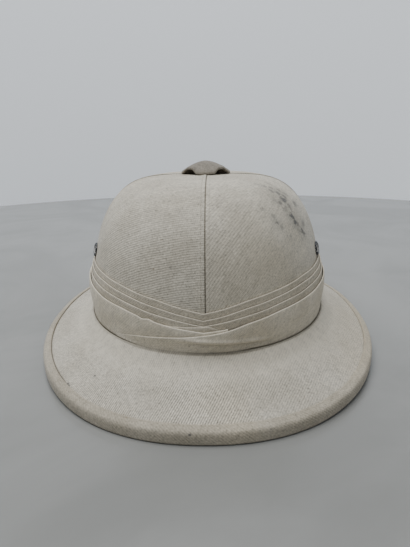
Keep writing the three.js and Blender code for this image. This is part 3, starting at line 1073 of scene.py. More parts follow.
@dataclass
class Eyelets:
    """Two domed metal eyelets with barrels through the wall."""

    form: HelmetForm
    finish: EnamelFinish = field(default_factory=EnamelFinish)
    hole: float = 5.0 * MM
    wall: float = 0.9 * MM
    dome: float = 1.4 * MM
    tilt: float = 5.0
    flange_share: float = 0.985
    turn: float = 69.0
    height: float = 84.0 * MM
    steps: int = 48

    def seat(self, side: int) -> Matrix:
        """Where an eyelet sits, with its own +Z out of the crown.

        Args:
            side: 1 on the right and -1 on the left.

        Returns:
            The matrix that puts it there.
        """
        rise = self.form.rise_of_height(np.array(self.height - self.form.foot_height))
        turn = np.array(side * self.turn)
        centre = Vector(self.form.crown(rise, turn))
        normal = Vector(self.form.outward(self.form.crown, rise, turn))
        normal.rotate(Matrix.Rotation(math.radians(-side * self.tilt), 3, "Z"))
        matrix = normal.to_track_quat("Z", "Y").to_matrix().to_4x4()
        matrix.translation = centre
        return matrix

    def cutter(self, side: int) -> bpy.types.Object:
        """Makes a closed plug that clears the barrel's way through cloth and pith.

        Args:
            side: 1 on the right and -1 on the left.

        Returns:
            The plug.
        """
        made = bmesh.new()
        radius = self.hole / 2 + self.wall + self.form.fit * 0.6
        depth = -self.form.pith_in * 4
        bmesh.ops.create_cone(
            made, cap_ends=True, segments=self.steps, radius1=radius, radius2=radius, depth=depth
        )
        bmesh.ops.transform(made, matrix=self.seat(side), verts=made.verts)
        return add_object("eyelet_way", to_data(made, "eyelet_way"))

    def profile(self) -> list[tuple[float, float]]:
        """Draws the section: down the barrel's bore, out under the flange and back over its dome.

        Returns:
            Radius and height pairs.
        """
        low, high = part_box("eyelet_left")
        flange = (high.z - low.z) / 2 * self.flange_share
        bore = self.hole / 2
        barrel = bore + self.wall
        base = self.form.fit
        inside = self.form.pith_in
        crest = (flange + bore) / 2
        section = [(bore, inside), (barrel, inside), (barrel, base), (flange, base)]
        for angle in (1.5, 1.2, 0.9, 0.6, 0.3, 0.0):
            height = base + self.dome * (0.25 + 0.75 * math.cos(angle))
            section.append((crest + (flange - crest) * math.sin(angle), height))
        for angle in (0.3, 0.6, 0.9, 1.2, 1.5):
            height = base + self.dome * (0.35 + 0.65 * math.cos(angle))
            section.append((crest - (crest - bore) * math.sin(angle), height))
        return section

    def build(self) -> None:
        """Spins and seats both eyelets."""
        material = self.finish.material()
        for side, name in ((-1, "eyelet_left"), (1, "eyelet_right")):
            piece = Piece(f"{name}_metal")
            ring = [piece.mesh.verts.new((radius, 0.0, height)) for radius, height in self.profile()]
            edges = [piece.mesh.edges.new(pair) for pair in zip(ring, ring[1:] + ring[:1])]
            bmesh.ops.spin(
                piece.mesh,
                geom=ring + edges,
                cent=(0.0, 0.0, 0.0),
                axis=(0.0, 0.0, 1.0),
                angle=math.tau,
                steps=self.steps,
                use_merge=True,
            )
            piece.weld()
            rubbed_and_lit = piece.mesh.verts.layers.float.new(WEAR_AND_PAINTED_LIGHT)
            bore = self.hole / 2
            for vertex in piece.mesh.verts:
                # Painted glint: the metal round the bore is marked to show pale.
                near_bore = smoothstep(bore + 0.5 * MM, bore + 0.2 * MM, vertex.co.xy.length)
                vertex[rubbed_and_lit] = float(near_bore)
            bmesh.ops.transform(piece.mesh, matrix=self.seat(side), verts=piece.mesh.verts)
            piece.finish(material, Slot.METAL, (name,))


@dataclass
class Crown:
    """The moulded pith and the four cloth panels with their lapped, stitched seams."""

    form: HelmetForm
    eyelets: Eyelets
    rows: int = 84
    columns: int = 56
    gap: float = 0.3 * MM
    seam_shift: float = 1.3 * MM
    side_shift: float = 2.3 * MM
    welt_width: float = 3.3 * MM
    welt_height: float = 0.55 * MM
    stitch_inset: float = 2.6 * MM
    stitch_top: float = 0.235
    stitch_foot: float = 20.0 * MM
    seam_columns: tuple[float, ...] = (0.0, 0.12, 0.3, 0.55, 0.9, 1.4, 2.0, 2.4, 2.6, 2.8, 3.2, 3.7, 4.4)
    pith_columns: int = 192
    pith_row_step: int = 3
    stains: tuple[Stain, ...] = (
        Stain(41, 134.5, 2.4, 0.3),
        Stain(45, 133, 2.6, 0.42),
        Stain(54, 134, 2.4, 0.3),
        Stain(49, 131.5, 2.2, 0.5),
        Stain(46, 130, 2.1, 0.6),
        Stain(50, 128.5, 2.6, 0.7),
        Stain(54, 129.5, 2.2, 0.5),
        Stain(57, 127, 2.6, 0.45),
        Stain(50, 124, 3.1, 0.95),
        Stain(53, 125.5, 2.4, 0.65),
        Stain(45, 123, 2.4, 0.65),
        Stain(42, 125, 2.2, 0.3),
        Stain(59, 120, 3.0, 0.6),
        Stain(51, 120, 2.3, 0.5),
        Stain(47, 119.5, 1.9, 0.45),
        Stain(45, 118, 2.2, 0.35),
        Stain(51, 117.5, 2.0, 0.38),
        Stain(35, 116, 1.8, 0.45),
        Stain(36, 112, 2.1, 0.65),
        Stain(38, 108.5, 1.7, 0.4),
        Stain(52, 119, 6.0, 0.0, 0.55),
        Stain(48, 128, 5.0, 0.0, 0.5),
        Stain(56, 107, 5.0, 0.0, 0.4),
        Stain(49, 113, 2.9, 0.95),
        Stain(49.5, 109.5, 2.2, 0.95),
        Stain(51, 107.5, 1.8, 0.6),
        Stain(57, 107, 3.2, 0.5),
        Stain(53.5, 103, 2.5, 0.8),
        Stain(54.5, 100.5, 2.0, 0.7),
        Stain(50, 104, 2.3, 0.3),
        Stain(51, 98, 2.0, 0.32),
        Stain(30, 121, 1.8, 0.35),
        Stain(42, 102, 1.6, 0.3),
        Stain(-19, 106, 0.8, 0.3, 0.0),
        Stain(-12, 89, 1.0, 0.45, 0.05),
    )

    def build(self) -> None:
        """Makes the pith and the four panels."""
        cutters = (self.eyelets.cutter(-1), self.eyelets.cutter(1))
        self._pith(cutters)
        drill = DrillFinish("crown_drill", twill_angle=0.62)
        material = drill.material(self._stain_places())
        names = {(1, 1): "front_right", (-1, 1): "front_left", (1, -1): "back_right", (-1, -1): "back_left"}
        for (side, front), name in names.items():
            holes = (cutters[(side + 1) // 2],) if front > 0 else ()
            self._panel(f"crown_panel_{name}", side, front, material, holes)
        self._topstitch(material)
        for cutter in cutters:
            bpy.data.objects.remove(cutter)

    def _stain_places(self) -> list[tuple[Vector, Stain]]:
        """Finds where each stain lies on the cloth.

        Returns:
            Each stain's centre, and the stain with its radius in metres.
        """
        places = []
        for stain in self.stains:
            rise = self.form.rise_of_height(np.array(stain.height * MM - self.form.foot_height))
            centre = Vector(self.form.crown(rise, np.array(float(stain.turn))))
            scaled = replace(stain, radius=stain.radius * MM, haze=stain.haze * max(stain.strength, 0.3))
            places.append((centre, scaled))
        return places

    def _round_hole(self, spreads: np.ndarray, turn: np.ndarray, follow: np.ndarray) -> np.ndarray:
        """The rows' spreads by column, where the upper rows follow the round vent hole."""
        hole = self.form.vent_hole / 2 / np.linalg.norm(self.form.crown_shape(turn), axis=-1)
        return spreads[None, :] * (1 + (hole / hole.mean() - 1) * follow[None, :])

    def _mirrored(self, points: np.ndarray, mirror: np.ndarray) -> np.ndarray:
        """Points of the first quarter put into another one, by 1 or -1 for each axis."""
        shift = np.array([0.0, self.form.crown_forward, 0.0])
        return (points + shift) * mirror - shift

    def _rows(self) -> tuple[np.ndarray, np.ndarray, np.ndarray]:
        """Spaces the rows down the crown, which all its pieces share.

        Returns:
            Rises, distances from the top, and how much each row follows the round hole.
        """
        radius = (self.form.crown_width + self.form.crown_length) / 4
        rises, distances = self.form.meridian(self.rows, self.form.vent_hole / 2 / radius)
        follow = 1 - smoothstep(0.0, 0.2, np.linspace(0, 1, self.rows + 1))
        return rises, distances, follow

    def _panel(
        self,
        name: str,
        side: int,
        front: int,
        material: bpy.types.Material,
        holes: tuple[bpy.types.Object, ...],
    ) -> None:
        """Makes one panel, worked out in the first quarter and mirrored into its own.

        Args:
            name: The node that it stands for.
            side: 1 on the right and -1 on the left.
            front: 1 at the front and -1 at the back.
            material: The cloth.
            holes: Ways cut through it.
        """
        form = self.form
        rises, distances, follow = self._rows()
        spreads = form.spread(rises)
        near = np.array(self.seam_columns) * MM
        welted_middle = side < 0
        welted_side = front < 0
        middle_start = (-self.seam_shift if welted_middle else self.seam_shift) + self.gap / 2
        side_start = (-self.side_shift if welted_side else self.side_shift) + self.gap / 2
        from_middle = form.turn_beside_middle((middle_start + near)[:, None], spreads)
        from_side = form.turn_before_side((side_start + near[::-1])[:, None], spreads)
        share = np.linspace(0, 1, self.columns + 1)[1:-1, None]
        between = lerp(from_middle[-1][None, :], from_side[0][None, :], share)
        turn = np.concatenate([from_middle, between, from_side])
        spread = self._round_hole(spreads, turn, follow)
        rise = np.where(follow[None, :] > 0, form.rise_of_spread(spread), rises[None, :] + 0.0 * turn)
        flat = form.crown(rise, turn)
        edge_distance = flat[..., 0] - middle_start
        side_distance = -(flat[..., 1] + form.crown_forward) - side_start
        depth = self._welt(edge_distance, welted_middle) + self._welt(side_distance, welted_side)
        waves = unevenness(turn / 9.0, distances[None, :] / (13 * MM), side * 1.7 + front)
        depth = depth + 0.12 * MM * waves
        points = self._mirrored(form.on_crown(rise, turn, depth), np.array([side, front, 1.0]))
        grime_and_shade = np.maximum(self._soil(edge_distance), 0.8 * self._soil(side_distance))
        # Darker towards the foot, where the band covers the panel.
        foot = smoothstep(0.9, 1.0, np.linspace(0, 1, self.rows + 1))[None, :]
        grime_and_shade = np.maximum(grime_and_shade, 0.25 * foot)
        grain = np.radians((turn - 45) * 0.62 * side * front)
        coordinates = np.stack([distances * np.sin(grain), distances * np.cos(grain)], -1)
        piece = Piece(f"{name}_cloth")
        piece.grid(points, coordinates, grime_and_shade)
        bmesh.ops.recalc_face_normals(piece.mesh, faces=piece.mesh.faces)
        self._face_out(piece)
        piece.finish(material, Slot.CROWN, (name,), form.cloth, holes)

    def _face_out(self, piece: Piece) -> None:
        """Turns an open sheet's faces away from the crown's middle.

        Args:
            piece: The sheet.
        """
        face = next(iter(piece.mesh.faces))
        centre = Vector((0.0, -self.form.crown_forward, self.form.foot_height))
        if face.normal.dot(face.calc_center_median() - centre) < 0:
            bmesh.ops.reverse_faces(piece.mesh, faces=piece.mesh.faces)

    def _welt(self, distance: np.ndarray, welted: bool) -> np.ndarray:
        """How far the cloth stands out near a seam.

        Args:
            distance: In from the panel's edge.
            welted: True where this panel is folded over the other.

        Returns:
            The height above the crown's face.
        """
        edge = 1 - smoothstep(0.0, 0.5 * MM, distance)
        if not welted:
            return -0.25 * MM * edge
        fall = smoothstep(self.welt_width - 0.5 * MM, self.welt_width + 0.5 * MM, distance)
        plateau = self.welt_height * (1 - fall)
        groove = 0.3 * MM * hump(distance, self.stitch_inset, 0.35 * MM)
        return plateau - groove - 0.3 * MM * edge

    def _soil(self, distance: np.ndarray) -> np.ndarray:
        """Dirt that gathers at a panel's edge."""
        stitched = 0.16 * hump(distance, self.stitch_inset, 0.4 * MM)
        return 0.62 * (1 - smoothstep(0.05 * MM, 0.5 * MM, distance)) + stitched

    def _topstitch(self, material: bpy.types.Material) -> None:
        """Sews down the four lapped seams, each beside its folded edge.

        Args:
            material: The thread's finish.
        """
        form = self.form
        piece = Piece("crown_seam_stitches")
        lowest = float(form.rise_of_height(np.array(self.stitch_foot)))
        widest = 1 - np.linspace(0.0, 1.0, 400) ** 2 * (1 - lowest)
        spreads = form.spread(widest)
        keep = spreads > self.stitch_top
        rise, spreads = widest[keep], spreads[keep]
        count = 0
        for front in (1, -1):
            inset = self.stitch_inset - self.seam_shift
            turn = form.turn_beside_middle(inset, spreads)
            count += self._sewn(piece, rise, turn, np.array([-1.0, front, 1.0]))
        for side in (1, -1):
            inset = self.stitch_inset - self.side_shift
            turn = form.turn_before_side(inset, spreads)
            count += self._sewn(piece, rise, turn, np.array([side, -1.0, 1.0]))
        LOG.info("crown seams: %d stitches", count)
        piece.finish(material, Slot.CROWN, ())

    def _sewn(self, piece: Piece, rise: np.ndarray, turn: np.ndarray, mirror: np.ndarray) -> int:
        """Sews one seam, worked out in the first quarter and mirrored into its own.

        Args:
            piece: What the thread is added to.
            rise: Rises down the seam.
            turn: Turns down the seam.
            mirror: 1 or -1 for each axis.

        Returns:
            How many stitches were made.
        """
        depth = np.array(self.welt_height - 0.16 * MM)
        line = self._mirrored(self.form.on_crown(rise, turn, depth), mirror)
        normals = self.form.outward(self.form.crown, rise, turn) * mirror
        return Stitches().sew(piece, line, normals)

    def _pith(self, cutters: tuple[bpy.types.Object, ...]) -> None:
        """Makes the moulded crown and brim in one wall.

        Args:
            cutters: Ways cut through it for the eyelets.
        """
        form = self.form
        turn = np.linspace(0.0, FULL_TURN, self.pith_columns + 1)[:, None]
        rises, _, follow = self._rows()
        rises = rises[:: self.pith_row_step]
        follow = follow[:: self.pith_row_step]
        rise = form.rise_of_spread(self._round_hole(form.spread(rises), turn, follow))
        insets = lerp(form.brim_width_at(turn) - 0.5 * MM, 6 * MM, np.linspace(0, 1, 16)[None, :])
        outer = np.array(form.pith_out)
        inner = np.array(form.pith_in)
        below = -form.pith_out
        lump = 0.18 * MM * unevenness(turn / 11.0, np.linspace(0, 9, len(rises))[None, :], 0.6)
        section = [
            form.on_crown(rise, turn, outer),
            form.on_brim(insets, turn, outer),
            form.on_brim(np.array(below), turn, outer),
            form.at_rim(below, below, turn),
            form.at_rim(form.rest_depth, below, turn),
            form.on_brim(insets[:, ::-1], turn, inner),
            form.on_crown(rise[:, ::-1], turn, inner + lump),
            form.on_crown(rise[:, :1], turn, outer),
        ]
        points = np.concatenate(section, axis=1)
        piece = Piece("pith_shell_wall")
        piece.grid(points, points[..., :2])
        piece.weld()
        piece.finish(PithFinish().material(), Slot.PITH, ("pith_shell",), holes=cutters)


@dataclass
class Brim:
    """The brim's cloth and its folded, stitched binding."""

    form: HelmetForm
    around: int = 288
    binding_width: float = 6.0 * MM
    cover_start: float = 0.5 * MM
    cover_rows: int = 61
    tucked_rows: tuple[float, ...] = (1.2, 0.9, 0.6, 0.3, 0.0, -0.6, -2.0)
    stitch_inset: float = 5.1 * MM
    left_width: float = 0.25 * MM
    wide_left: Stretch = Stretch(-150.0, -115.0, -62.0, -38.0)
    wide_right: Stretch = Stretch(40.0, 70.0, 120.0, 150.0)
    open_left: Stretch = Stretch(-135.0, -112.0, -44.0, -40.5)
    open_right: Stretch = Stretch(52.0, 75.0, 120.0, 140.0)
    lapped: Stretch = Stretch(-38.0, -20.0, 12.0, 26.0)
    drill: DrillFinish = field(
        default_factory=lambda: DrillFinish(
            "brim_drill",
            light=(0.575, 0.54, 0.463),
            shade=(0.495, 0.46, 0.385),
            twill_angle=-1.1,
            twill_pitch=0.0014,
            twill_depth=0.6,
            grain_depth=1.25,
        )
    )
    bias: DrillFinish = field(
        default_factory=lambda: DrillFinish(
            "binding_cloth",
            light=(0.505, 0.46, 0.375),
            shade=(0.43, 0.388, 0.308),
            twill_angle=-0.75,
            twill_depth=0.13,
        )
    )
    marks: tuple[Stain, ...] = (
        Stain(-35, 20.1, 0.8, 0.9),
        Stain(-41.5, 6.4, 1.3, 1.0),
        Stain(-40.6, 6.3, 0.9, 0.9),
    )
    flecks: tuple[Stain, ...] = (
        Stain(-56.2, 3.6, 0.7, 0.7),
        Stain(-52.5, 3.2, 0.6, 0.5),
        Stain(-42.5, 2.8, 0.8, 0.8),
        Stain(-2.2, 0.4, 1.0, 0.85),
        Stain(14.5, 0.3, 0.9, 0.5),
        Stain(31.0, 3.0, 0.7, 0.5),
    )

    def build(self) -> None:
        """Makes the cover and the binding."""
        self._cover()
        self._binding()

    def _turns(self) -> np.ndarray:
        """Turns all the way round, as a column."""
        return np.linspace(0.0, FULL_TURN, self.around + 1)[:, None]

    def _strip_width(self, turn: np.ndarray) -> np.ndarray:
        """The binding's width on top, a little more on the left."""
        wider = self.wide_left.share(turn) + 0.4 * self.wide_right.share(turn)
        return self.binding_width + self.left_width * wider

    def _groove(self, turn: np.ndarray) -> np.ndarray:
        """How far the binding has lifted off the cloth: open on the left, faint elsewhere."""
        return self.open_left.share(turn) + 0.35 * self.open_right.share(turn)

    def _cover(self) -> None:
        """Makes the cloth from the crown's foot to under the binding."""
        form = self.form
        turn = self._turns()
        width = form.brim_width_at(turn)
        strip = self._strip_width(turn)
        share = np.linspace(0, 1, self.cover_rows)[None, :] ** 1.35
        inset = lerp(width - self.cover_start, strip + 1.5 * MM, share)
        tucked = np.array([self.tucked_rows]) * MM + strip
        inset = np.concatenate([inset, tucked], axis=1)
        groove = self._groove(turn)
        dip = (0.08 + 0.37 * groove) * MM * smoothstep(3.0 * MM, 0.0, inset - strip)
        tucked_in = 0.3 * MM * smoothstep(0.2 * MM, -0.6 * MM, inset - strip)
        waves = 0.28 * MM * unevenness(turn / 14.0, inset / (16 * MM), 2.2)
        depth = waves * smoothstep(2 * MM, 12 * MM, inset - strip) - dip - tucked_in
        depth = depth + form.swept_up(width - inset)
        points = form.on_brim(inset, turn, depth)
        # Painted shade: a dark line where the cloth meets the band, fainter on the left, and dirt and
        # painted shade along the binding's edge, darker where it has lifted open.
        from_band = width - inset - (1.05 + 0.7 * self.lapped.share(turn)) * MM
        strength = 0.22 + 0.3 * smoothstep(-50.0, -15.0, signed_turn(turn))
        against_crown = strength * smoothstep(0.8 * MM, 0.1 * MM, from_band)
        at_binding = (0.12 + 0.78 * groove) * hump(inset, strip + 0.2 * MM, 0.45 * MM)
        coordinates = points[..., :2] * np.array([1.0, 1.06])
        # Painted light: the cloth is marked lighter within 26 mm of the band, against the shade that falls
        # there.
        rubbed_and_lit = 1.9 * smoothstep(26.0 * MM, 4.0 * MM, width - inset)
        piece = Piece("brim_cover_cloth")
        piece.grid(points, coordinates, np.maximum(against_crown, at_binding), rubbed_and_lit)
        piece.weld()
        self._face_up(piece)
        material = self.drill.material(self._mark_places(self.marks))
        piece.finish(material, Slot.BRIM, ("brim_cover",), form.cloth)

    def _mark_places(self, marks: tuple[Stain, ...]) -> list[tuple[Vector, Stain]]:
        """Finds where small marks lie on the brim.

        Args:
            marks: Spots whose height is their distance in from the rim.

        Returns:
            Each mark's centre, and the mark with its radius in metres.
        """
        places = []
        for mark in marks:
            inset = np.array(mark.height * MM)
            centre = Vector(self.form.on_brim(inset, np.array(mark.turn), np.array(0.0)))
            places.append((centre, replace(mark, radius=mark.radius * MM, haze=0.04)))
        return places

    @staticmethod
    def _face_up(piece: Piece) -> None:
        """Turns an open sheet's faces upwards."""
        if sum(face.normal.z * face.calc_area() for face in piece.mesh.faces) < 0:
            bmesh.ops.reverse_faces(piece.mesh, faces=piece.mesh.faces)

    def _binding(self) -> None:
        """Makes the strip folded over the edge, from its stitched top edge round to its underside."""
        form = self.form
        turn = self._turns()
        groove = self._groove(turn)
        top = form.fit + form.cloth
        under = form.pith_in - form.fit - form.cloth + 0.0 * turn
        width = self._strip_width(turn)
        lift = 0.3 * MM * groove
        corners = [
            (form.on_brim(width + 0.05 * MM, turn, -0.55 * MM + 0.0 * turn), 0.0),
            (form.on_brim(width, turn, 0.55 * MM + lift), 0.5 * MM),
            (form.on_brim(width * 0.6, turn, top - 0.3 * MM + lift), 2.4 * MM),
            (form.at_rim(0.0, form.rim_height - 0.5 * MM, turn), 4.9 * MM),
            (form.at_rim(0.0, 0.0, turn), 1.7 * MM),
            (form.at_rim(form.rest_depth, 0.0, turn), 1.2 * MM),
            (form.on_brim(np.array(self.binding_width), turn, under), 0.0),
        ]
        points = self._rounded(corners)
        above_foot = points[..., 2] - form.rim_lift(turn)
        waves = unevenness(turn / 6.0, np.linspace(0, 3, points.shape[1])[None, :], 4.1)
        waves = 0.16 * MM * waves * smoothstep(2.0 * MM, 6.0 * MM, above_foot)
        points = points + waves[..., None] * np.array([0.0, 0.0, 1.0])
        coordinates = strip_coordinates(points, points.shape[1] // 3)
        down = coordinates[..., 1]
        # Painted shade in the groove where the binding lifts open, and a painted contact shadow along the
        # rim's foot; the seam mark is dirt along the stitching.
        lip = (0.12 + 0.75 * groove) * smoothstep(1.2 * MM, 0.5 * MM, down)
        painted_foot_shadow = 0.45 * smoothstep(1.6 * MM, 0.1 * MM, points[..., 2] - form.rim_lift(turn))
        seam = 0.14 * hump(down, 2.0 * MM, 0.45 * MM) + 0.045 * smoothstep(7.5 * MM, 5.0 * MM, down)
        piece = Piece("brim_binding_strip")
        piece.grid(points, coordinates, np.maximum(np.maximum(lip, painted_foot_shadow), seam))
        piece.weld()
        self._face_away(piece)
        material = self.bias.material(self._mark_places(self.flecks))
        piece.finish(material, Slot.BINDING, ("brim_binding",), form.cloth * 0.9)
        sewn_at = width - (self.binding_width - self.stitch_inset)
        self._stitching(form.on_brim(sewn_at, turn, 0.72 * MM + lift)[:, 0], material)

    @staticmethod
    def _stitching(line: np.ndarray, material: bpy.types.Material) -> None:
        """Sews the thread along the binding's top edge.

        Args:
            line: Points along it.
            material: The thread's finish.
        """
        piece = Piece("brim_binding_stitches")
        normals = np.broadcast_to(np.array([0.0, 0.0, 1.0]), line.shape)
        count = Stitches().sew(piece, line, normals)
        LOG.info("binding: %d stitches", count)
        piece.finish(material, Slot.BINDING, ())

    def _face_away(self, piece: Piece) -> None:
        """Turns an open ring's faces away from the brim's middle.

        Args:
            piece: The ring.
        """
        centre = Vector((0.0, 0.0, self.form.rim_height / 2))
        outward = sum(
            face.normal.dot(Vector((face.calc_center_median() - centre).xy.to_3d())) * face.calc_area()
            for face in piece.mesh.faces
            if abs(face.normal.z) < 0.5
        )
        if outward < 0:
            bmesh.ops.reverse_faces(piece.mesh, faces=piece.mesh.faces)

    @staticmethod
    def _rounded(corners: list[tuple[np.ndarray, float]], steps: int = 7) -> np.ndarray:
        """A section through corners, each rounded by its own radius.

        Args:
            corners: Points all the way round with one radius each. The first and last stay sharp.
            steps: Points on each round.

        Returns:
            Points by column and row.
        """
        places = [place.reshape(len(place), 3) for place, _ in corners]
        rows = [places[0]]
        for index in range(1, len(corners) - 1):
            radius = corners[index][1]
            here, before, after = places[index], places[index - 1], places[index + 1]
            back = before - here
            ahead = after - here
            back_length = np.linalg.norm(back, axis=-1, keepdims=True)
            ahead_length = np.linalg.norm(ahead, axis=-1, keepdims=True)
            start = here + back / back_length * np.minimum(radius, back_length * 0.48)
            end = here + ahead / ahead_length * np.minimum(radius, ahead_length * 0.48)
            for share in np.linspace(0, 1, steps):
                rows.append((1 - share) ** 2 * start + 2 * share * (1 - share) * here + share**2 * end)
        rows.append(places[-1])
        return np.stack(rows, axis=1)


@dataclass(frozen=True)
class FoldRow:
    """The puggaree's upper edges at a turn, as shares of its height above the crown's foot."""

    turn: float
    top: float
    second: float
    third: float
    band: float


@dataclass
class Puggaree:
    """The wrapped cloth: three turned pleats, a small crossed fold, and a plain band with a tail."""

    form: HelmetForm
    height: float = 45.0 * MM
    roll: float = 0.42 * MM
    stand: float = 1.05 * MM
    settle: float = 0.3 * MM
    undercut: float = 0.9 * MM
    band_foot: float = 0.2 * MM
    foot_share: float = 0.65
    tuck: float = 5.0 * MM
    under_end: float = 8.0
    lap_start: float = 19.0
    lap_end: float = 9.0
    tail_end: float = -38.0
    end_gap: float = 0.25 * MM
    crossing_stand: float = 0.72
    behind_fold: float = 130.0
    pleat_columns: int = 361
    band_columns: int = 260
    crossing_turns: Stretch = Stretch(-19.0, -13.0, 1.0, 7.0)
    crease_turns: Stretch = Stretch(-12.0, -1.0, 15.0, 31.0)
    side_crease_turns: Stretch = Stretch(28.0, 40.0, 50.0, 66.0)
    finish: DrillFinish = field(
        default_factory=lambda: DrillFinish(
            "puggaree_cotton",
            light=(0.64, 0.587, 0.485),
            shade=(0.555, 0.50, 0.40),
            twill_angle=0.8,
            twill_pitch=0.0013,
            twill_depth=0.14,
            grain_depth=0.9,
        )
    )
    # A lighter copy of the puggaree cotton: painted light that lifts the shade on the band's face.
    lit_band_finish: DrillFinish = field(
        default_factory=lambda: DrillFinish(
            "puggaree_band_cotton_lit",
            light=(0.78, 0.72, 0.60),
            shade=(0.69, 0.63, 0.505),
            twill_angle=0.8,
            twill_pitch=0.0013,
            twill_depth=0.1,
            grain_depth=0.7,
            pepper_depth=0.1,
        )
    )
    folds: tuple[FoldRow, ...] = (
        FoldRow(0, 0.6, 0.51, 0.433, 0.345),
        FoldRow(15, 0.745, 0.645, 0.545, 0.445),
        FoldRow(30, 0.845, 0.745, 0.645, 0.545),
        FoldRow(45, 0.917, 0.817, 0.706, 0.6),
        FoldRow(60, 0.956, 0.856, 0.745, 0.64),
        FoldRow(90, 1.0, 0.9, 0.79, 0.683),
        FoldRow(180, 0.978, 0.878, 0.767, 0.66),
    )
    tail: tuple[tuple[float, float], ...] = ((-38, 0.055), (-24, 0.2), (-12, 0.26), (0, 0.317), (15, 0.445))
    crossing: tuple[tuple[float, float], ...] = ((-17, 0.43), (-5, 0.42), (3, 0.438), (12, 0.5))

    def build(self) -> None:
        """Makes the pleats and the two bands."""
        self._pleats(self.finish.material())
        material = self.lit_band_finish.material()
        self._band("puggaree_band_left", material, left=True)
        self._band("puggaree_band_right", material, left=False)

    @staticmethod
    def _curve(rows: tuple[tuple[float, float], ...], turn: np.ndarray) -> np.ndarray:
        """Reads a smooth curve through a short table.

        Args:
            rows: Pairs of a turn and a value.
            turn: Where to read it.

        Returns:
            The values.
        """
        places, heights = np.array(rows, float).T
        slopes = np.gradient(heights, places)
        turn = np.clip(turn, places[0], places[-1])
        index = np.clip(np.searchsorted(places, turn, side="right") - 1, 0, len(places) - 2)
        step = places[index + 1] - places[index]
        share = (turn - places[index]) / step
        square = share**2
        cube = share**3
        return (
            (2 * cube - 3 * square + 1) * heights[index]
            + (cube - 2 * square + share) * slopes[index] * step
            + (3 * square - 2 * cube) * heights[index + 1]
            + (cube - square) * slopes[index + 1] * step
        )

    def edge(self, name: str, turn: np.ndarray) -> np.ndarray:
        """The height of one of the upper edges above the crown's foot."""
        rows = tuple((row.turn, getattr(row, name)) for row in self.folds)
        return self._curve(rows, np.abs(signed_turn(turn))) * self.height

    def tail_edge(self, turn: np.ndarray) -> np.ndarray:
        """The right band's upper edge over the front and out to its tail."""
        over_front = self._curve(self.tail, turn) * self.height
        return np.where(turn < self.tail[-1][0], over_front, self.edge("band", turn))

    def _waver(self, turn: np.ndarray, seed: float) -> np.ndarray:
        """Small unevenness of a folded edge."""
        return 0.28 * MM * unevenness(turn / 7.0, turn / 23.0, seed)

    def _pleats(self, material: bpy.types.Material) -> None:
        """Makes the pleats as one ring, with each fold's edge standing free above a gap that is painted with
        shade.

        Args:
            material: The cloth.
        """
        form = self.form
        turn = np.linspace(-HALF_TURN, HALF_TURN, self.pleat_columns)
        heights = []
        for index, name in enumerate(("top", "second", "third")):
            heights.append(self.edge(name, turn) + self._waver(turn, 1.0 + 1.7 * index))
        band = self.edge("band", turn)
        in_front = self.crossing_turns.share(turn)
        hidden = np.minimum(heights[2], band) - 1.2 * MM
        heights.append(lerp(hidden, self._curve(self.crossing, turn) * self.height, in_front))
        whole = np.ones_like(turn)
        rows: list[Row] = []
        face = form.fit + 0.0 * turn
        for index, (edge, here) in enumerate(zip(heights, (whole, whole, whole, in_front))):
            crest = face + self.stand * here * (self.crossing_stand if index == 3 else 1.0)
            roll = self.roll * here
            if index:
                gap_floor = edge - (self.undercut - 0.15 * MM) * here
                # The gap under each fold edge is painted with shade.
                rows.append((edge + 0.3 * MM, face, 0.1))
                rows.append((edge - 0.05 * MM, face, 0.5))
                rows.append((edge - self.undercut * here, face - 0.05 * MM * here, 0.75))
                rows.append((gap_floor, face + 0.2 * MM * here, 0.75))
            # Painted shade behind each fold's edge.
            rows += self._folded_edge(edge, crest, roll, (160, 125, 90, 60, 30, 0), 0.2)
            face = crest - self.settle * here
            following = heights[index + 1] if index + 1 < len(heights) else band - self.tuck
            for share in (0.25, 0.5, 0.75):
                sag = 0.12 * MM * math.sin(share * math.pi)
                level = lerp(edge - roll, following + 0.4 * MM, share)
                rows.append((level, lerp(crest, face, share) - sag, 0.0))
        against_crown = form.fit * 0.6 + 0.0 * turn
        # The tucked foot and the hidden back against the crown are painted with shade.
        rows.append((band - self.tuck, face - 0.2 * MM, 0.5))
        rows.append((band - self.tuck, form.fit + 0.0 * turn, 0.5))
        rows.append((heights[2] - 0.5 * MM, against_crown, 0.5))
        rows.append((heights[1] - 0.5 * MM, against_crown, 0.5))
        rows.append((heights[0] - 1.0 * MM, against_crown, 0.6))
        rows.append(rows[0])
        points, grime_and_shade, wear_and_painted_light = self._laid(rows, turn, heights)
        piece = Piece("puggaree_pleats_cloth")
        piece.grid(points, strip_coordinates(points, points.shape[1] // 2), grime_and_shade, wear_and_painted_light)
        piece.weld()
        piece.finish(material, Slot.PUGGAREE, ("puggaree_pleats",))

    def _folded_edge(
        self,
        edge: np.ndarray,
        crest: np.ndarray,
        roll: np.ndarray,
        angles: tuple[float, ...],
        soil_and_shade: float,
    ) -> list[Row]:
        """Turns the cloth round a folded edge, from behind it to its face.

        Args:
            edge: Heights of the edge.
            crest: How far the face stands out.
            roll: Radius of the fold.
            angles: Degrees back from the face, one for each row.
            soil_and_shade: Painted shade behind the fold.

        Returns:
            The rows.
        """
        rows = []
        for angle in angles:
            swing = math.radians(angle)
            out = crest - roll * (1 - math.cos(swing))
            level = edge - roll * (1 - math.sin(swing))
            rows.append((level, out, soil_and_shade if angle > self.behind_fold else 0.0))
        return rows

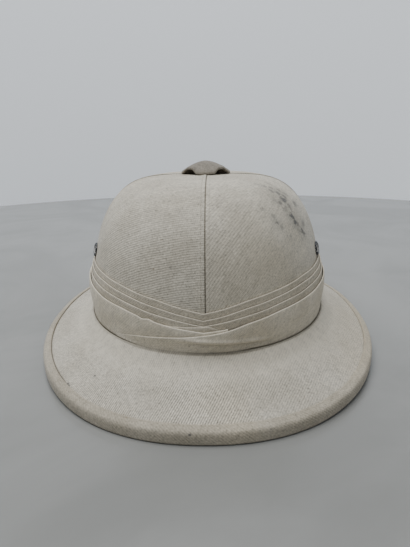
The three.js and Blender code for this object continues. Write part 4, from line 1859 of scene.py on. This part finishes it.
    def _laid(
        self, rows: list[Row], turn: np.ndarray, edges: list[np.ndarray]
    ) -> tuple[np.ndarray, np.ndarray, np.ndarray]:
        """Lays rows of a strip on the crown.

        Args:
            rows: Height above the crown's foot, distance out from its face, and the dirt and painted shade
                of each row.
            turn: The columns' turns.
            edges: Heights of the folded edges, which are rubbed and painted lighter.

        Returns:
            Points, dirt and painted shade, and wear and painted light by column and row.
        """
        form = self.form
        places = [form.on_crown(form.rise_of_height(level), turn, out) for level, out, _ in rows]
        grime_and_shade = np.stack([soil_and_shade + 0.0 * turn for _, _, soil_and_shade in rows], axis=1)
        wear_and_painted_light = np.stack([self._rubbed_and_lit(level, edges) for level, _, _ in rows], axis=1)
        return np.stack(places, axis=1), grime_and_shade, wear_and_painted_light

    def _rubbed_and_lit(self, height: np.ndarray, edges: list[np.ndarray]) -> np.ndarray:
        """Wear and painted highlights along folded edges.

        Args:
            height: Heights of a row.
            edges: The heights of the folded edges.

        Returns:
            The wear and painted highlight, 1 on an edge and 0 from a millimetre below it.
        """
        nearest = np.min([np.abs(edge - 0.35 * MM - height) for edge in edges], axis=0)
        return smoothstep(0.85 * MM, 0.3 * MM, nearest)

    def _band(self, name: str, material: bpy.types.Material, left: bool) -> None:
        """Makes one half of the plain band.

        Args:
            name: The node that it stands for.
            material: The cloth.
            left: True for the left half, which runs under the right one at the front.
        """
        form = self.form
        gap = math.degrees(self.end_gap / form.crown_width)
        start, end = (gap - HALF_TURN, self.under_end) if left else (self.tail_end, HALF_TURN - gap)
        turn = np.linspace(start, end, self.band_columns)
        shared = self.edge("band", turn)
        edge = shared if left else self.tail_edge(turn)
        edge = edge + self._waver(turn, 7.3 if left else 8.9) * smoothstep(2 * MM, 8 * MM, edge)
        lap = np.zeros_like(turn) if left else 1 - smoothstep(self.lap_end, self.lap_start, turn)
        if left:
            edge = edge - 0.7 * MM * hump(turn, -22.5, 1.3) + 0.6 * MM * hump(turn, -19.5, 1.3)
        above = form.fit + form.cloth + 1.6 * MM + form.fit + form.cloth
        below = form.fit + self.foot_share * form.cloth
        rise = lap * (form.fit + form.cloth) * (0.15 + 0.85 * smoothstep(-37.0, -20.0, turn))

        def face(height: np.ndarray) -> np.ndarray:
            """The band's outer face at a height, flaring outwards towards its upper edge."""
            fallen = smoothstep(0.0, 1.0, (shared - height) / (shared - self.band_foot)) ** 1.4
            return (
                lerp(above, below, fallen)
                + rise * (1 - 0.45 * fallen)
                + self._creases(turn, height, left)
            )

        roll = np.minimum(self.roll * 1.15, (edge - self.band_foot) * 0.3)
        rows = self._folded_edge(edge, face(edge - roll), roll, (150, 120, 90, 60, 30, 0), 0.0)
        for share in np.linspace(0.04, 0.97, 30):
            level = lerp(edge - roll, self.band_foot + 0.2 * MM, share)
            # Darker towards the band's foot, and painted shade along the right band's crease.
            soil_and_shade = np.maximum(0.22 * share**8, self._crease_shade(turn, level, left))
            rows.append((level, face(level), soil_and_shade))
        foot = self.band_foot + 0.0 * turn
        foot_depth = face(foot)
        # The band's hidden underside is painted with shade.
        rows.append((foot, foot_depth - 0.2 * MM, 0.4))
        rows.append((foot, foot_depth - self.foot_share * form.cloth, 0.7))
        for share in np.linspace(0.1, 1.0, 12):
            level = lerp(foot, edge - roll, share)
            rows.append((level, face(level) - lerp(self.foot_share, 1.0, share) * form.cloth, 0.7))
        rows.append(rows[0])
        points, grime_and_shade, wear_and_painted_light = self._laid(rows, turn, [edge])
        levels = np.stack([level for level, _, _ in rows], axis=1)
        below_foot = form.foot_height - form.brim(foot_depth / form.brim_width_at(turn), turn)[:, 2]
        below_foot -= form.swept_up(foot_depth)
        points[..., 2] -= below_foot[:, None] * smoothstep(9.0 * MM, self.band_foot, levels)
        # Painted shade behind the band's folded top edge.
        grime_and_shade[:, :2] = 0.2
        piece = Piece(f"{name}_cloth")
        piece.grid(points, strip_coordinates(points, points.shape[1] // 2), grime_and_shade, wear_and_painted_light)
        piece.weld(caps=True)
        piece.finish(material, Slot.PUGGAREE, (name,))

    def _crease_line(self, turn: np.ndarray) -> tuple[np.ndarray, np.ndarray]:
        """The long crease low on the front: its height above the crown's foot, and its strength, 0 to 1."""
        line = lerp(7.8 * MM, 3.4 * MM, np.clip((turn + 6) / 30, 0, 1))
        return line, self.crease_turns.share(turn)

    def _crease_shade(self, turn: np.ndarray, at: np.ndarray, left: bool) -> np.ndarray:
        """Faint painted shade along the long crease of the right band."""
        line, here = self._crease_line(turn)
        return (0.0 if left else 0.34) * here * hump(at, line + 0.6 * MM, 1.2 * MM)

    def _creases(self, turn: np.ndarray, at: np.ndarray, left: bool) -> np.ndarray:
        """Soft wrinkles of the band's face: a long one low at the front, one at the right, and gentle waves.

        Args:
            turn: The columns' turns.
            at: Heights above the crown's foot.
            left: True for the left half.

        Returns:
            How far they stand out.
        """
        waves = 0.2 * MM * unevenness(turn / 10.0, at / (7 * MM), 5.5) * smoothstep(0.0, 5.0 * MM, at)
        line, here = self._crease_line(turn)
        trough = -1.25 * MM * hump(at, line, 1.5 * MM)
        if left:
            return waves + here * trough
        swell = 1.3 * MM * hump(at, line + 3.0 * MM, 1.8 * MM)
        side_line = lerp(9.0 * MM, 16.0 * MM, np.clip((turn - 28) / 30, 0, 1))
        side = -0.5 * MM * hump(at, side_line, 2.4 * MM)
        return waves + here * (trough + swell) + self.side_crease_turns.share(turn) * side


@dataclass
class VentCap:
    """The ventilator's cap: a cloth-covered dome on four lobes with arched openings between them."""

    wall: float = 1.6 * MM
    arch: float = 3.5 * MM
    notch: float = 0.1
    power: float = 1.6
    lobes: int = 4
    collar: float = 0.955
    pocket: float = 0.3
    around: int = 160
    finish: DrillFinish = field(
        default_factory=lambda: DrillFinish(
            "cap_cloth",
            light=(0.30, 0.272, 0.23),
            shade=(0.235, 0.212, 0.176),
            worn_and_lit=(0.5, 0.47, 0.41),
            twill_angle=0.3,
            yellowing=0.5,
        )
    )

    def build(self) -> None:
        """Makes the cap."""
        low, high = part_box("vent_cap")
        centre = (low + high) / 2
        angle = np.linspace(0.0, math.tau, self.around + 1)[:, None]
        opening = smoothstep(0.38, 0.98, (1 - np.cos(self.lobes * angle)) / 2)
        radius = (high.x - low.x) / 2 * (1 - self.notch * opening)
        inside = radius - self.wall
        base = low.z + self.arch * opening
        rise = high.z - base - self.wall
        shares = np.linspace(0.0, 0.97, 30)[None, :]
        bulge = 0.25 * MM * np.sin(shares * math.pi) * np.cos(self.lobes * angle)
        dome = self._at(angle, radius * shares, base + self.wall + rise * self._dome(shares) + bulge, centre)
        swing = np.radians(np.array([20.0, 45.0, 70.0, 95.0, 130.0]))[None, :]
        roll = self.wall / 2
        edge_out = radius - roll + roll * np.sin(swing)
        edge = self._at(angle, edge_out, base + roll + roll * np.cos(swing), centre)
        kept = self.collar - self.pocket * opening
        shares = lerp(1.0, kept + 0.01, np.array([[0.0, 0.35, 0.7, 1.0]]))
        under = self._at(angle, inside * shares, base + rise * self._dome(shares), centre)
        collar_out = inside * kept + np.array([[0.0, 0.0, -1.2 * MM]])
        collar_heights = self._collar_heights(base + rise * self._dome(kept), low.z)
        collar = self._at(angle, collar_out, collar_heights, centre)
        shares = np.linspace(self.collar - self.pocket - 0.12, 0.0, 7)[None, :]
        inner = self._at(angle, inside * shares, base + rise * self._dome(shares), centre)
        points = np.concatenate([dome, edge, under, collar, inner], axis=1)
        edge_row = dome.shape[1]
        hidden_row = edge_row + edge.shape[1]
        grime_and_shade = np.zeros(points.shape[:2])
        # A little darker towards the edge, then painted shade on the rolled edge and the darkest painted
        # shade under the cap and in its openings.
        grime_and_shade[:, edge_row - 4 : edge_row] = 0.12
        grime_and_shade[:, edge_row:hidden_row] = 0.4
        grime_and_shade[:, hidden_row:] = 1.0
        piece = Piece("vent_cap_cloth")
        piece.grid(points, points[..., :2], grime_and_shade)
        piece.weld()
        piece.finish(self.finish.material(), Slot.CAP, ("vent_cap",))

    def _collar_heights(self, top: np.ndarray, level: float) -> np.ndarray:
        """Heights down the collar that the cap stands on, from the dome to just above the crown."""
        foot = level + 0.1 * MM
        return np.concatenate([top - 0.3 * MM, 0.0 * top + foot, 0.0 * top + foot], axis=1)

    def _dome(self, share: np.ndarray) -> np.ndarray:
        """The dome's height over its width."""
        return 1 - share**self.power

    @staticmethod
    def _at(angle: np.ndarray, out: np.ndarray, height: np.ndarray, centre: Vector) -> np.ndarray:
        """Points round the cap's centre."""
        angle, out, height = np.broadcast_arrays(angle, out, height)
        return np.stack([centre.x + np.sin(angle) * out, centre.y - np.cos(angle) * out, height], -1)


@dataclass
class Studio:
    """The counter, the light and the camera of the photo's view."""

    counter_radius: float = 0.95
    counter_level: float = -0.1 * MM
    wall_height: float = 1.0
    eye: tuple[float, float, float] = (0.00837, -0.36241, 0.1653)
    tilt: float = 71.95
    yaw: float = 1.66
    roll: float = -0.80
    lens: float = 26.98
    sensor: float = 36.0
    sky: tuple[float, float, float] = (0.93, 0.97, 1.0)
    sky_strength: float = 0.25
    key_power: float = 20.5
    key_size: float = 1.3
    key_place: tuple[float, float, float] = (-0.3, -0.12, 1.5)
    key_target: tuple[float, float, float] = (0.0, 0.0, 0.06)
    counter: PlainFinish = PlainFinish("pale_counter", (0.33, 0.334, 0.325), (0.262, 0.266, 0.257), 0.26)
    # The round wall glows with its own colour as painted light, bright behind the helmet and dim in front,
    # so it lights the helmet mostly from behind.
    wall: PlainFinish = PlainFinish("pale_glowing_wall", (0.68, 0.71, 0.745), (0.19, 0.194, 0.197), 0.8, 0.4, True)

    def build(self) -> None:
        """Sets up everything that isn't part of the helmet."""
        radius = self.counter_radius
        level = self.counter_level
        self._round("counter", [(0.0, level), (radius, level)], self.counter)
        self._round("wall", [(radius, level), (radius, self.wall_height)], self.wall)
        self._light()
        self._camera()

    @staticmethod
    def _round(name: str, profile: list[tuple[float, float]], finish: PlainFinish) -> None:
        """Spins a plain round surface that the helmet stands on or inside.

        Args:
            name: The surface's name.
            profile: Radius and height pairs.
            finish: Its finish.
        """
        made = bmesh.new()
        line = [made.verts.new((radius, 0.0, height)) for radius, height in profile]
        edges = [made.edges.new(pair) for pair in zip(line, line[1:])]
        turn = {"cent": (0.0, 0.0, 0.0), "axis": (0.0, 0.0, 1.0), "angle": math.tau, "steps": 96}
        bmesh.ops.spin(made, geom=line + edges, use_merge=True, **turn)
        bmesh.ops.remove_doubles(made, verts=made.verts, dist=1e-5)
        placed = add_object(name, to_data(made, name))
        placed.data.materials.append(finish.material())
        for polygon in placed.data.polygons:
            polygon.use_smooth = True

    def _light(self) -> None:
        """A pale sky and one broad lamp above."""
        world = bpy.data.worlds.new("pale_sky")
        world.use_nodes = True
        background = world.node_tree.nodes["Background"]
        background.inputs["Color"].default_value = (*self.sky, 1.0)
        background.inputs["Strength"].default_value = self.sky_strength
        bpy.context.scene.world = world
        lamp = bpy.data.lights.new("broad_lamp", "AREA")
        lamp.shape = "DISK"
        lamp.size = self.key_size
        lamp.energy = self.key_power
        holder = add_object("broad_lamp", lamp)
        holder.location = self.key_place
        aim = Vector(self.key_target) - Vector(self.key_place)
        holder.rotation_euler = aim.to_track_quat("-Z", "Y").to_euler()

    def _camera(self) -> None:
        """The photo's viewing angle."""
        camera = bpy.data.cameras.new("camera")
        camera.lens = self.lens
        camera.sensor_width = self.sensor
        camera.clip_start = 0.01
        yaw = Matrix.Rotation(math.radians(self.yaw), 4, "Z")
        tilt = Matrix.Rotation(math.radians(self.tilt), 4, "X")
        roll = Matrix.Rotation(math.radians(self.roll), 4, "Z")
        holder = add_object("camera", camera)
        holder.matrix_world = Matrix.Translation(self.eye) @ (yaw @ tilt) @ roll
        bpy.context.scene.camera = holder


def corners(box: tuple[Vector, Vector]) -> list[list[float]]:
    """A box as plain lists of numbers."""
    return [list(box[0]), list(box[1])]


def main() -> None:
    """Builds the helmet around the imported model."""
    logging.basicConfig(level=logging.INFO, format="%(name)s: %(message)s")
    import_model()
    Studio().build()
    form = HelmetForm.from_frame()
    eyelets = Eyelets(form)
    Crown(form, eyelets).build()
    Brim(form).build()
    Puggaree(form).build()
    VentCap().build()
    eyelets.build()


if __name__ == "__main__":
    main()
